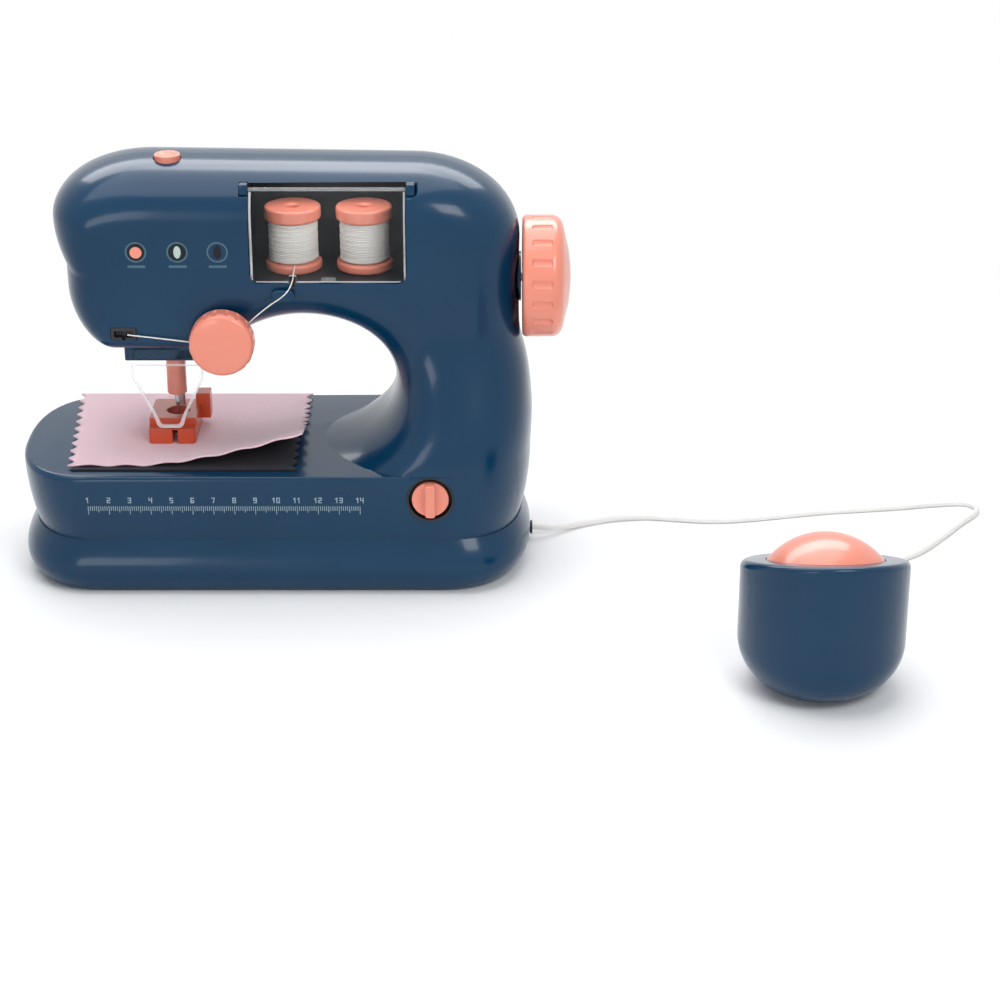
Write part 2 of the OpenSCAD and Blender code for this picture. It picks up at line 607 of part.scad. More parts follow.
module motor() {
  color(steel) difference() {
    rod_x(68, 93, 0, motor_z, 21);
    rod_x(88, 100, 0, motor_z, pin_shaft + 2 * gap);
  }
}
// handwheel, hollow behind and domed in front
wheel_x = boss_x + 1 + gap + 0.1;
grips = 18;
module handwheel() {
  color(coral) difference() {
    translate([wheel_x, 0, shaft_z]) rotate([0, 90, 0]) rotate_extrude($fn = 72) polygon(concat(
      [[0, 0], [9, 0], [10, 10], [20, 12], [wheel_r - 5, 9], [wheel_r - 4.4, 0], [wheel_r - 1.2, 0], [wheel_r, 1.2]],
      [for (k = [0 : 6]) [wheel_r - 7 * (1 - cos(15 * k)), wheel_w - 6 + 6 * sin(15 * k)]],
      [[wheel_r * 0.45, wheel_w + 2.4], [0, wheel_w + 3.4]]));
    rod_x(100, boss_x + 14, 0, shaft_z, shaft_d);
    for (k = [0 : grips - 1]) let (a = 360 * (k + 0.5) / grips, d = wheel_r + 1.9)
      rod_x(wheel_x + 4, wheel_x + wheel_w - 5, d * cos(a), shaft_z + d * sin(a), 5.6);
  }
}
module main_shaft() { color(steel) rod_x(-36, boss_x + 14, 0, shaft_z, shaft_d); }
module crank_disc() {
  color(steel) difference() {
    union() {
      rod_x(-36, -31, 0, shaft_z, 26);
      rod_x(-39.4, -35, 0, shaft_z + crank_throw, 4);
    }
    rod_x(-37, -20, 0, shaft_z, shaft_d);
  }
}
module gear_plan(n, turn) {
  p = 360 / n;
  r = gear_mod * n / 2;
  polygon([for (k = [0 : n - 1]) each [for (q = [[-0.34, -1.2], [-0.13, 0.85], [0.13, 0.85], [0.34, -1.2]])
    let (a = turn + p * (k + q[0]), d = r + gear_mod * q[1]) [d * cos(a), d * sin(a)]]]);
}
module drive_gear() {
  color("#e6e2d8") difference() {
    translate([gear_x, 0, shaft_z]) rotate([0, 90, 0]) linear_extrude(gear_w) gear_plan(gear_teeth, 0);
    rod_x(80, 120, 0, shaft_z, shaft_d);
  }
}
module motor_pinion() {
  color("#e6e2d8") union() {
    translate([gear_x, 0, motor_z]) rotate([0, 90, 0]) linear_extrude(gear_w) gear_plan(pinion_teeth, 180 / pinion_teeth);
    rod_x(89, gear_x + 1, 0, motor_z, pin_shaft);
  }
}
// needle group
bar_z0 = head_z - 32;
bar_z1 = shaft_z + 28;
yoke_x0 = needle_x + bar_d / 2 - 1;
module needle_bar() {
  color(coral) difference() {
    rod_z(bar_z0, bar_z1, needle_x, 0, bar_d);
    rod_z(bar_z0 - 1, bar_z0 + 12, needle_x, 0, 3);
    box([yoke_x0, -20, shaft_z - yoke_h], [yoke_x0 + 9, 20, shaft_z + yoke_h]);
  }
}
module needle_yoke() {
  color(steel) difference() {
    box([yoke_x0, -13, shaft_z - yoke_h], [-40, 13, shaft_z + yoke_h]);
    box([yoke_x0 + 0.8, -11, shaft_z - 2.6], [0, 11, shaft_z + 2.6]);
  }
}
tip_z = bar_z0 - 12;
module needle() {
  color(steel) union() {
    rod_z(tip_z + 6, bar_z0 + 12, needle_x, 0, 3);
    translate([needle_x, 0, tip_z]) cylinder(d1 = 0.8, d2 = 1.8, h = 6 + eps);
  }
}
// presser foot with its lever
sheet_t = 0.8;
foot_z = bed_z + 2 * sheet_t + 0.5;
foot_h = 11;
foot_y0 = -17;
module presser_foot() {
  color("#e2683a") difference() {
    union() {
      translate([needle_x - 1.5, 0, foot_z]) linear_extrude(foot_h)
        polygon(soft_rect(-foot_w / 2, foot_y0, foot_w / 2, presser_y + 5, 2));
      box([needle_x + 8, presser_y - 3, foot_z + 4], [needle_x + 15, presser_y + 5, foot_z + 17]);
    }
    rod_z(foot_z - 1, foot_z + 20, needle_x, 0, bar_d + 2);
    box([needle_x - 1.3, foot_y0 - 1, foot_z - 1], [needle_x + 1.3, 1, foot_z + 7]);
    rod_z(foot_z + 3, foot_z + 20, needle_x, presser_y, presser_d);
    box([needle_x - 20, foot_y0 - 1, foot_z + 7.5], [needle_x + 20, foot_y0 + 6, foot_z + 20]);
  }
}
module presser_bar() { color(steel) rod_z(foot_z + 3, head_z + 34, needle_x, presser_y, presser_d); }
// top button with a retaining flange, and the board under it
button_z = top_z + 1.6;
flange_z = top_z - 12.3;
module top_button() {
  color(coral) translate([button_x, button_y, 0]) rotate_extrude() polygon([
    [0, flange_z], [button_d / 2 + 1.6, flange_z], [button_d / 2 + 1.6, flange_z + 2], [button_d / 2, flange_z + 2],
    [button_d / 2, button_z - 1], [button_d / 2 - 1, button_z], [button_d / 2 - 2.6, button_z],
    [button_d / 2 - 3, button_z - 0.6], [0, button_z - 0.9]]);
}
module button_board() {
  color("#2d5a3a") union() {
    box([button_x - 9, -16, flange_z - 9], [tray_x0, 4, flange_z - 7.4]);
    box([button_x - 4, button_y - 4, flange_z - 8], [button_x + 4, button_y + 4, flange_z - 3]);
  }
}
module shell_screws() {
  color(steel) for (s = screw_at) difference() {
    rod_y(half_at(s[1], 0) - wall, half_at(s[1], 0) - 0.4, s[0], s[1], screw_d);
    for (r = [[0.5, 2], [2, 0.5]])
      box([s[0] - r[0], half_at(s[1], 0) - 1.6, s[1] - r[1]], [s[0] + r[0], half_at(s[1], 0), s[1] + r[1]]);
  }
}

// pedal: a round bowl cut by a tilted top
pedal_mid = 61;
pedal_base_t = 2.5;
bowl_r = 24;
function bowl(g) = concat([[0, g]],
  [for (k = [0 : 6]) [pedal_r - bowl_r + (bowl_r - g) * sin(15 * k), bowl_r - (bowl_r - g) * cos(15 * k)]],
  [[pedal_r - g, 90], [0, 90]]);
module pedal_top_cut(drop) {
  translate([0, 0, pedal_mid - drop]) rotate([-pedal_tilt, 0, 0]) translate([-80, -80, 0]) cube([160, 160, 120]);
}
module pedal_axis() { translate([pedal_x, pedal_y, pedal_mid]) rotate([-pedal_tilt, 0, 0]) children(); }
gland_d = 7;
cord_d = 3;
cord_z = 6;
cord_y = 12;
gland_turn = 59;
gland_h = 11;
module pedal_body() {
  color(navy) difference() {
    translate([pedal_x, pedal_y, 0]) difference() {
      rotate_extrude() polygon(bowl(0));
      pedal_top_cut(0);
      difference() {
        rotate_extrude() polygon(bowl(wall));
        pedal_top_cut(3.2);
      }
      translate([0, 0, -1]) cylinder(r = pedal_r - bowl_r, h = 6);
    }
    pedal_axis() translate([0, 0, -20]) cylinder(d = dome_d + 2 * gap, h = 40);
    pedal_gland_at() cylinder(d = gland_d, h = 60);
  }
}
module pedal_gland_at() { translate([pedal_x, pedal_y, gland_h]) rotate([0, 0, gland_turn]) rotate([0, 90, 0]) children(); }
module pedal_gland() {
  color(black) pedal_gland_at() difference() {
    translate([0, 0, 29]) cylinder(d = gland_d, h = 12);
    cylinder(d = cord_d + 0.2, h = 60);
  }
}
module pedal_base() {
  color(black) translate([pedal_x, pedal_y, 0]) cylinder(r = pedal_r - bowl_r, h = wall);
}
dome_h = 12.5;
dome_sr = (pow(dome_d / 2, 2) + dome_h * dome_h) / (2 * dome_h);
dome_in = (dome_h - 2.5);
module pedal_dome() {
  color(coral) pedal_axis() rotate_extrude() polygon(concat(
    [[0, dome_h]],
    [for (k = [1 : 10]) let (a = asin(dome_d / 2 / dome_sr) * k / 10) [dome_sr * sin(a), dome_h - dome_sr * (1 - cos(a))]],
    [[dome_d / 2, -3.6], [dome_d / 2 + 2, -3.6], [dome_d / 2 + 2, -5.6], [dome_d / 2 - 2.5, -5.6], [dome_d / 2 - 2.5, -1],
     [dome_d / 2 - 8, 4], [5, dome_in - 2], [5, -2], [0, -2]]));
}
module pedal_switch() {
  color("#3a3f46") difference() {
    translate([pedal_x, pedal_y, wall]) cylinder(d = 14, h = pedal_mid - wall);
    pedal_axis() translate([-40, -40, -8.5]) cube(80);
  }
}

// swept tubes for the cord and the thread
function unit(v) = v / norm(v);
function spline(p, i, t) = let (a = p[max(0, i - 1)], b = p[i], c = p[i + 1], d = p[min(len(p) - 1, i + 2)])
  0.5 * (2 * b + (c - a) * t + (2 * a - 5 * b + 4 * c - d) * t * t + (3 * b - a - 3 * c + d) * t * t * t);
function fine(p, k) = concat([for (i = [0 : len(p) - 2]) for (j = [0 : k - 1]) spline(p, i, j / k)], [p[len(p) - 1]]);
module tube(path, r, sides) {
  n = len(path);
  pts = [for (i = [0 : n - 1]) let (t = unit(path[min(n - 1, i + 1)] - path[max(0, i - 1)]),
    s = unit(cross(t, [0, 0, 1])), u = cross(s, t)) for (j = [0 : sides - 1]) let (a = 360 * j / sides)
    path[i] + r * (cos(a) * s + sin(a) * u)];
  polyhedron(pts, concat([[for (j = [sides - 1 : -1 : 0]) j]], [[for (j = [0 : sides - 1]) (n - 1) * sides + j]],
    [for (i = [0 : n - 2]) for (j = [0 : sides - 1]) let (a = i * sides + j, b = i * sides + (j + 1) % sides)
      each [[a, b, a + sides], [b, b + sides, a + sides]]]));
}
lay = cord_d / 2 + 0.05;
out = [cos(gland_turn), sin(gland_turn)];
function from_pedal(r, z) = [pedal_x + r * out[0], pedal_y + r * out[1], z];
cord_path = [[119, cord_y, cord_z], [129, cord_y, cord_z], [137, 14.5, 4.4], [146, 20.5, 2.2], [155, 26, lay], [164, 30, lay],
  [176, 33, lay], [189, 34, lay], [202, 32, lay], [215, 30, lay], [228, 30, lay], [241, 32, lay], [254, 35, lay],
  [267, 38, lay], [280, 41, lay], [294, 43, lay], [307, 45, lay], [320, 47, lay], [334, 50, lay], [347, 52, lay],
  [356, 51.5, lay], [360, 46, lay], [357.5, 38, lay], [349, 27, lay], [339, 13, lay], [329, -1, lay], [321, -10, lay],
  [312, -18, lay], [304, -27, lay], [299, -40, lay], [295, -54, lay], [291.5, -66, lay],
  [289.3, -79, 1.9], from_pedal(62, 4), from_pedal(52, 8.4), from_pedal(43, gland_h - 0.2), from_pedal(30, gland_h)];
module cord() { color("#f1efeb") tube(fine(cord_path, 2), cord_d / 2, 8); }
function run_length(p) = len(p) < 2 ? 0 : norm(p[1] - p[0]) + run_length([for (i = [1 : len(p) - 1]) p[i]]);
echo("cord length", run_length(fine(cord_path, 2)));
module cord_gland() {
  color(black) difference() {
    rod_x(117, 128, cord_y, cord_z, gland_d);
    rod_x(100, 140, cord_y, cord_z, cord_d + 0.2);
  }
}
thread_r = 0.3;
face_y = -arm_half - 1.1;
thread_path = concat(
  [for (p = [[thread_x, spool_y - spool_d / 2 + 0.1, 3], [thread_x, -arm_half + 8, 2.4], [thread_x, face_y - 0.3, 1.4],
    [12.5, face_y - 2, -2.5], [9, face_y - 2, -6], [3, face_y - 1, -10.5]]) [p[0], p[1], win_z0 + p[2]]],
  [for (p = [[-6, 17.5], [-14, 8], [-19, 5.6], [-25, 6], [-36, 7.6], [-52, 9.6], [-64, 11]]) [p[0], face_y, head_z + p[1]]]);
module thread_run() { color("white") tube(fine(thread_path, 2), thread_r, 6); }

// cloth clothes with pinked sides
teeth = 10;
tooth = 2.6;
cloth_nx = 10;
lift_h = 16;
fold_n = unit([74, -65]);
fold_at = [-50, -44];
function lift(x, y) = lift_h * pow(max(0, [x - fold_at[0], y - fold_at[1]] * fold_n) / 49.6, 1.2);
// sheet over a four-sided plan: front left, front right, back left, back right
function sheet_pt(q, i, k, top, up) = let (v = k / (2 * teeth), u = i / cloth_nx,
    l = q[0] + (q[2] - q[0]) * v, r = q[1] + (q[3] - q[1]) * v,
    e = (k % 2 == 0 ? -1 : 1) * tooth / 2, p = l + (r - l) * u,
    x = p[0] + (i == 0 ? e : i == cloth_nx ? -e : 0))
  [x, p[1], (up ? lift(x, p[1]) : 0) + top];
module sheet(q, z, up) {
  m = cloth_nx + 1;
  n = 2 * teeth + 1;
  t = m * n;
  pts = [for (h = [0, sheet_t]) for (k = [0 : n - 1]) for (i = [0 : m - 1]) sheet_pt(q, i, k, z + h, up)];
  edge = concat([for (i = [0 : m - 1]) i], [for (k = [1 : n - 1]) k * m + m - 1],
    [for (i = [m - 2 : -1 : 0]) (n - 1) * m + i], [for (k = [n - 2 : -1 : 1]) k * m]);
  c = len(edge);
  polyhedron(pts, concat(
    [for (k = [0 : n - 2]) for (i = [0 : m - 2]) let (a = k * m + i) each [[a, a + 1, a + m], [a + 1, a + m + 1, a + m]]],
    [for (k = [0 : n - 2]) for (i = [0 : m - 2]) let (a = t + k * m + i) each [[a, a + m, a + 1], [a + 1, a + m, a + m + 1]]],
    [for (j = [0 : c - 1]) let (a = edge[j], b = edge[(j + 1) % c]) each [[a, a + t, b], [b, a + t, b + t]]]));
}
cloth_z = bed_z + 0.1;
module cloth_under() {
  color("#1c1a2b") difference() {
    sheet([[-92, -47], [13, -47], [-97, 48], [11, 48]], cloth_z, false);
    rod_z(bed_z - 11, bed_z + 19, needle_x, 0, needle_hole);
  }
}
module cloth_top() {
  color("#e8c3cd") difference() {
    sheet([[-94, -44], [16, -44], [-102, 51.5], [14, 51.5]], cloth_z + sheet_t + 0.1, true);
    rod_z(bed_z - 11, bed_z + 19, needle_x, 0, needle_hole);
  }
}

front_shell();
rear_shell();
bed_tub();
plinth();
bottom_plate();
battery_door();
battery_contacts();
spool_tray();
hinge_blocks();
throat_plate();
head_block();
needle_guard();
thread_guide();
hook_guide();
tension_post();
switch_cup();
rotary_switch();
bulkhead();
gear_frame();
wheel_bush();
motor();
button_board();
shell_screws();
cord_gland();
cord();
thread_run();
cloth_top();
cloth_under();
pedal_body();
pedal_base();
pedal_switch();
pedal_gland();
handwheel();
main_shaft();
crank_disc();
drive_gear();
motor_pinion();
needle_bar();
needle_yoke();
needle();
presser_foot();
presser_bar();
tension_knob();
switch_knob();
top_button();
spool_1();
thread_pack_1();
winding_1();
spool_2();
thread_pack_2();
winding_2();
window_cover();
pedal_dome();
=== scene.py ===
"""Looks of the toy sewing machine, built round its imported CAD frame."""

import contextlib
import json
import math

import bmesh
import bpy
from mathutils import Matrix, Vector


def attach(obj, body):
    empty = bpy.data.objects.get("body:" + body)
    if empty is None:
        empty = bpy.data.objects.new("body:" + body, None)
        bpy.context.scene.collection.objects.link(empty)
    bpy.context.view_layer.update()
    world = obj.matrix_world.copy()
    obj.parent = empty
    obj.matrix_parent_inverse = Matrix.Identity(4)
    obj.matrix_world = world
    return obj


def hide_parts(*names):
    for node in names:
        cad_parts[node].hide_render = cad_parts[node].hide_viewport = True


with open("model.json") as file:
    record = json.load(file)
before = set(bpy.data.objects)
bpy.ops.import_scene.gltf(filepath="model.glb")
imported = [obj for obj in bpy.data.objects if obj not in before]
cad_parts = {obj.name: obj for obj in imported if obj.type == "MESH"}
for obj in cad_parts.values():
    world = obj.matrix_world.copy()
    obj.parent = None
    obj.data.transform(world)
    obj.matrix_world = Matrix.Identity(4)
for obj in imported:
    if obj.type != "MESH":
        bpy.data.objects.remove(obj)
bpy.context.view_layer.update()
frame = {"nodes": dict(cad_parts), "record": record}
MM = 0.001
UP, FRONT, RIGHT = (0, 0, 1), (0, -1, 0), (1, 0, 0)

# Sizes that the looks share with the part, in millimetres

ARM_HALF = 36.0
BED_HALF = 55.0
TOP_Z = 205.3
BED_Z = 61.5
CREASE_Z = 27.0
WALL = 2.5
SEAT = 0.15
SOFT = 2.4
END_RUN = 38.0
THROAT_X, THROAT_Z = 18.0, 97.0
THROAT_A, THROAT_UP, THROAT_LOW = 43.0, 32.0, 36.0
HEAD_Z = 116.0
HEAD_BLOCK = (-69.0, -18.4, 107.0, -34.0, 15.0, 121.0)
SHAFT_Z, BUSH_R = 144.0, 9.0
NEEDLE_X = -47.0
PRESSER_Y = 10.0
FOOT_X = NEEDLE_X - 1.5
GUARD_Y, GUARD_T = -18.4, 1.6
TENSION_X, TENSION_Z = -19.0, 125.0
BUTTON_X, BUTTON_Y = -44.7, -8.0
SWITCH_X, SWITCH_Z, CUP_R = 78.3, 49.7, 11.5
HOOK = (-72.0, 124.0, -60.0, 130.0)
GUIDE_X, GUIDE_Z = 10.0, 146.5
WINDOW = (-5.5, 152.0, 68.0, 198.0)
HINGE_Z, HINGE_W = 195.6, 4.0
HINGE_X = (WINDOW[0] - HINGE_W, WINDOW[2])
SPOOL_X = (13.0, 47.0)
SPOOL_Y, SPOOL_Z = -5.0, 150.0
GLAND_R = 3.5
CORD_R, CORD_Y, CORD_Z = 1.5, 12.0, 6.0
PEDAL = (255.5, -146.0)
PEDAL_TILT = math.radians(19.5)
PEDAL_MID, PEDAL_R, BOWL_R = 61.0, 37.5, 24.0
DOME_R, DOME_H = 26.0, 12.5
PEDAL_CORD_Z = 11.0
PEDAL_CORD_WAY = Vector((math.cos(math.radians(59)), math.sin(math.radians(59)), 0))


# Shader maths


class Value:
    """A shader socket whose arithmetic adds Math nodes to its material."""

    def __init__(self, paint, socket):
        self.paint = paint
        self.socket = socket

    def _math(self, operation, other):
        return self.paint.node("ShaderNodeMath", {"operation": operation}, [self, other])

    def __add__(self, other):
        return self._math("ADD", other)

    __radd__ = __add__

    def __mul__(self, other):
        return self._math("MULTIPLY", other)

    __rmul__ = __mul__

    def sine(self):
        return self._math("SINE", 0.0)


class Paint:
    """One procedural material; where is the place of a surface point in its own scale."""

    def __init__(self, name, scale=(1.0, 1.0, 1.0), kind="Object", **fixed):
        self.material = bpy.data.materials.new(name)
        self.material.use_nodes = True
        self.tree = self.material.node_tree
        self.tree.nodes.clear()
        self.shader = self.tree.nodes.new("ShaderNodeBsdfPrincipled")
        end = self.tree.nodes.new("ShaderNodeOutputMaterial")
        self.tree.links.new(self.shader.outputs["BSDF"], end.inputs["Surface"])
        for socket, value in fixed.items():
            self.set(socket.replace("_", " "), value)
        self.where = self.place(scale, kind)

    def put(self, socket, value):
        if isinstance(value, Value):
            self.tree.links.new(value.socket, socket)
        else:
            socket.default_value = value

    def set(self, socket, value):
        self.put(self.shader.inputs[socket], value)

    def node(self, kind, settings=None, inputs=(), output=0):
        """Adds a node; inputs is a list by place or a dict by name."""
        made = self.tree.nodes.new(kind)
        for key, value in (settings or {}).items():
            setattr(made, key, value)
        pairs = inputs.items() if isinstance(inputs, dict) else enumerate(inputs)
        for key, value in pairs:
            self.put(made.inputs[key], value)
        return Value(self, made.outputs[output])

    def place(self, scale, kind="Object"):
        """Where a point of the surface lies, in the object's own metres or on its map."""
        source = self.node("ShaderNodeTexCoord", output=kind)
        return self.node("ShaderNodeMapping", inputs={"Vector": source, "Scale": scale})

    def noise(self, scale, detail=3.0, rough=0.5, where=None):
        return self.node("ShaderNodeTexNoise", inputs={
            "Vector": where or self.where, "Scale": scale, "Detail": detail, "Roughness": rough})

    def colour(self, share, dark, light):
        """Mixes the base colour from two colour codes."""
        codes = {0: share, 6: linear(dark), 7: linear(light)}
        self.set("Base Color", self.node("ShaderNodeMix", {"data_type": "RGBA"}, codes, output=2))

    def surface(self, rough, height=None, strength=0.0, distance=0.0002):
        """Sets the roughness and, where there is a height, a bump; returns the material."""
        self.set("Roughness", rough)
        if height:
            inputs = {"Strength": strength, "Distance": distance, "Height": height}
            self.set("Normal", self.node("ShaderNodeBump", inputs=inputs))
        return self.material


def linear(code):
    """A colour from its six-digit code."""
    parts = [int(code[k:k + 2], 16) / 255 for k in (0, 2, 4)]
    return tuple(c / 12.92 if c <= 0.04045 else ((c + 0.055) / 1.055) ** 2.4 for c in parts) + (1.0,)


def moulded_plastic(name, dark, light, rough, coat=0.3, shine=0.5):
    """Glossy moulded plastic: faint flow mottling, fine surface ripple and a few dull patches."""
    paint = Paint(name, Coat_Weight=coat, Coat_Roughness=0.06, IOR=1.5, Specular_IOR_Level=shine)
    paint.colour(paint.noise(14.0, 2.0), dark, light)
    return paint.surface(paint.noise(60.0, 4.0, 0.6) * 0.08 + (rough - 0.04), paint.noise(900.0, 2.0), 0.06)


def fine_texture_plastic(name, dark, light, rough):
    """Matt plastic with a spark-eroded grain."""
    paint = Paint(name, IOR=1.5)
    paint.colour(paint.noise(20.0), dark, light)
    grain = paint.noise(2600.0, 2.0)
    return paint.surface(grain * 0.15 + (rough - 0.07), grain, 0.25)


def clear_plastic(name, tint, opacity, rough):
    """Clear moulded plastic, seen mostly by its reflections and edges."""
    paint = Paint(name, IOR=1.49, Coat_Weight=0.4, Coat_Roughness=0.03)
    smear = paint.noise(45.0)
    paint.colour(smear, tint, "ffffff")
    paint.set("Alpha", smear * 0.02 + opacity)
    return paint.surface(smear * 0.06 + rough)


def drawn_steel(name, shade, rough):
    """Bright steel with lengthwise brushing."""
    paint = Paint(name, scale=(40.0, 40.0, 900.0), Metallic=1.0)
    streak = paint.noise(3.0, 4.0, 0.7)
    paint.colour(streak, shade, "e4e6e8")
    return paint.surface(streak * 0.2 + rough, streak, 0.08)


def woven_cloth(name, dark, light, thread_pitch, nap):
    """Plain weave that follows the sheet's own map, in metres, with a soft nap."""
    paint = Paint(name, kind="UV", Sheen_Weight=nap, Sheen_Roughness=0.5)
    across = paint.node("ShaderNodeSeparateXYZ", inputs=[paint.where])
    down = Value(paint, across.socket.node.outputs[1])
    turns = 2 * math.pi / thread_pitch
    weave = (across * turns).sine() * (down * turns).sine() * 0.5 + 0.5
    slub = paint.noise(700.0, 4.0, 0.6)
    paint.colour(weave * 0.35 + slub * 0.45 + paint.noise(40.0, 2.0) * 0.2, dark, light)
    return paint.surface(slub * 0.15 + 0.78, weave + slub * 0.6, 0.5, thread_pitch * 0.35)


def spun_thread(name, dark, light):
    """Sewing thread: twisted plies and stray fibre."""
    paint = Paint(name, Sheen_Weight=0.3, Sheen_Roughness=0.4)
    fuzz = paint.noise(1800.0, 4.0, 0.7)
    ply = paint.noise(1.0, 2.0, where=paint.place((600.0, 600.0, 2600.0)))
    paint.colour(ply * 0.6 + fuzz * 0.4, dark, light)
    return paint.surface(fuzz * 0.2 + 0.6, ply + fuzz, 0.35)


def cord_sheath(name):
    """Soft white sheath with handling marks."""
    paint = Paint(name, IOR=1.48)
    mark = paint.noise(90.0, 4.0, 0.6)
    paint.colour(mark, "dedcd8", "f6f5f2")
    return paint.surface(mark * 0.15 + 0.38, paint.noise(1200.0), 0.1)


def printed_ink(name, shade, light):
    """Screen-printed ink, slightly uneven."""
    paint = Paint(name, IOR=1.5, Specular_IOR_Level=0.2)
    cover = paint.noise(500.0)
    paint.colour(cover, shade, light)
    return paint.surface(cover * 0.1 + 0.35)


LOOKS = {name: make(name, *values) for name, make, *values in (
    ("navy_plastic", moulded_plastic, "002d4a", "053b5b", 0.22, 0.16, 0.22),
    ("coral_plastic", moulded_plastic, "e07f68", "ee917b", 0.3),
    ("orange_plastic", moulded_plastic, "c2401f", "d2562f", 0.32),
    ("black_plastic", fine_texture_plastic, "101216", "1b1d22", 0.5),
    ("inner_plastic", fine_texture_plastic, "30343a", "3d4249", 0.55),
    ("board", fine_texture_plastic, "1f4a2c", "2d6040", 0.5),
    ("gear_plastic", fine_texture_plastic, "d8d4c8", "ebe8de", 0.45),
    ("clear_plastic", clear_plastic, "dfe8ee", 0.0, 0.05),
    # Whitish, half-opaque clear plastic for edges and rims: a painted highlight for the bright edges of the
    # clear parts.
    ("clear_edge", clear_plastic, "e9f0f4", 0.55, 0.12),
    ("clear_rod", clear_plastic, "dfe8ee", 0.08, 0.08),
    ("steel", drawn_steel, "a9adb2", 0.22),
    ("thread", spun_thread, "d9d6d0", "f8f6f1"),
    ("cord_sheath", cord_sheath),
    ("pink_cloth", woven_cloth, "e2b6c3", "f6dae1", 0.0007, 0.35),
    # Near-black weave with almost no nap: partly a dark under-sheet, partly painted shade for the shadow and
    # dark reflection under the pink sheet's lifted corner.
    ("dark_cloth", woven_cloth, "08070f", "171424", 0.0007, 0.04),
    ("coral_ink", printed_ink, "e98a75", "f2a08c"),
    ("pale_ink", printed_ink, "a9bcb6", "c3d2cb"),
    ("faint_ink", printed_ink, "3e5d6d", "55727f"),
    ("dark_ink", printed_ink, "11161c", "1b2229"),
    ("ruler_ink", printed_ink, "7f97a2", "a6b9c1"))}


# Mesh helpers


def linked(name, data):
    """A new object in the scene."""
    made = bpy.data.objects.new(name, data)
    bpy.context.collection.objects.link(made)
    return made


def mesh_of(bm, name):
    """A mesh from a bmesh, which is freed."""
    mesh = bpy.data.meshes.new(name)
    bm.to_mesh(mesh)
    bm.free()
    return mesh


def mesh_seen(piece):
    """The mesh of an object after its modifiers or its bevel."""
    bpy.context.view_layer.update()
    return bpy.data.meshes.new_from_object(piece.evaluated_get(bpy.context.evaluated_depsgraph_get()))


def finish_piece(bm, name, body, slot, look=None, extra=False, angle=32.0, more=()):
    """Makes the bmesh a piece that rides on a body and, unless extra, stands for the node of its name."""
    mesh = mesh_of(bm, name)
    piece = linked(name + "_look", mesh)
    for shade in (look or slot, *more):
        mesh.materials.append(LOOKS[shade])
    mesh.shade_smooth()
    mesh.set_sharp_from_angle(angle=math.radians(angle))
    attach(piece, body)
    if not extra:
        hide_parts(name)
    return piece


def point(x, y, z):
    """A place given in millimetres, in metres."""
    return Vector((x * MM, y * MM, z * MM))


def chain_edges(bm, points, closed=False):
    """Adds a row of vertices joined by edges, or a ring where closed."""
    verts = [bm.verts.new(p) for p in points]
    ends = verts[1:] + verts[:1] if closed else verts[1:]
    return verts, [bm.edges.new(pair) for pair in zip(verts, ends)]


def flat_face(bm, points):
    """One flat face inside a ring of points."""
    return bmesh.ops.contextual_create(bm, geom=chain_edges(bm, points, True)[1])["faces"]


def open_edges(bm):
    """Edges on the rim of an open mesh."""
    return [e for e in bm.edges if e.is_boundary]


def face_outward(bm):
    """Turns the faces of closed skins outward."""
    bmesh.ops.recalc_face_normals(bm, faces=bm.faces)


def loft(bm, rows, closed=False):
    """Bridges each row of points to the next."""
    before = None
    for row in rows:
        edges = chain_edges(bm, row, closed)[1]
        if before:
            bmesh.ops.bridge_loops(bm, edges=before + edges)
        before = edges


def turned(bm, profile, centre, axis, steps=96):
    """Spins a profile of (radius, height) round an axis through centre."""
    axis = Vector(axis).normalized()
    side = axis.orthogonal().normalized()
    verts, edges = chain_edges(bm, [centre + side * (r * MM) + axis * (h * MM) for r, h in profile])
    bmesh.ops.spin(bm, geom=verts + edges, cent=centre, axis=axis, angle=2 * math.pi, steps=steps,
                   use_merge=True)
    bmesh.ops.remove_doubles(bm, verts=bm.verts, dist=1e-6)
    face_outward(bm)


def rod(bm, centre, radius, way, steps=64):
    """A solid rod along a vector."""
    length = way.length / MM
    turned(bm, [(0, 0), (radius, 0), (radius, length), (0, length)], centre, way, steps)


def rounded(profile, radius, steps=5):
    """Rounds the inner corners of an open profile of (radius, height)."""
    out = [profile[0]]
    for before, here, after in zip(profile, profile[1:], profile[2:]):
        b, p, a = (Vector(v) for v in (before, here, after))
        reach = min(radius, (b - p).length * 0.48, (a - p).length * 0.48)
        start, end = p + (b - p).normalized() * reach, p + (a - p).normalized() * reach
        for k in range(steps + 1):
            t = k / steps
            q = start * (1 - t) ** 2 + p * (2 * t * (1 - t)) + end * t ** 2
            out.append((q.x, q.y))
    return out + [profile[-1]]


def block(bm, low, high, round_mm=0.0):
    """A box between two corners, in millimetres, with soft edges."""
    made = bmesh.ops.create_cube(bm, size=1.0)["verts"]
    size = [h - l for l, h in zip(low, high)]
    bmesh.ops.scale(bm, verts=made, vec=Vector(size) * MM)
    bmesh.ops.translate(bm, verts=made, vec=point(*[(l + h) / 2 for l, h in zip(low, high)]))
    if round_mm:
        edges = list({e for v in made for e in v.link_edges})
        soften(bm, edges, round_mm, 3)


def soften(bm, edges, offset, segments):
    """Rounds edges off by an offset in millimetres."""
    bmesh.ops.bevel(bm, geom=edges, offset=offset * MM, segments=segments, profile=0.5, affect="EDGES",
                    material=-1)


def prism(bm, outline, way):
    """A solid from a flat outline of points pushed along a vector."""
    made = bmesh.ops.extrude_face_region(bm, geom=flat_face(bm, outline), use_keep_orig=True)["geom"]
    bmesh.ops.translate(bm, verts=[v for v in made if isinstance(v, bmesh.types.BMVert)], vec=way)
    face_outward(bm)


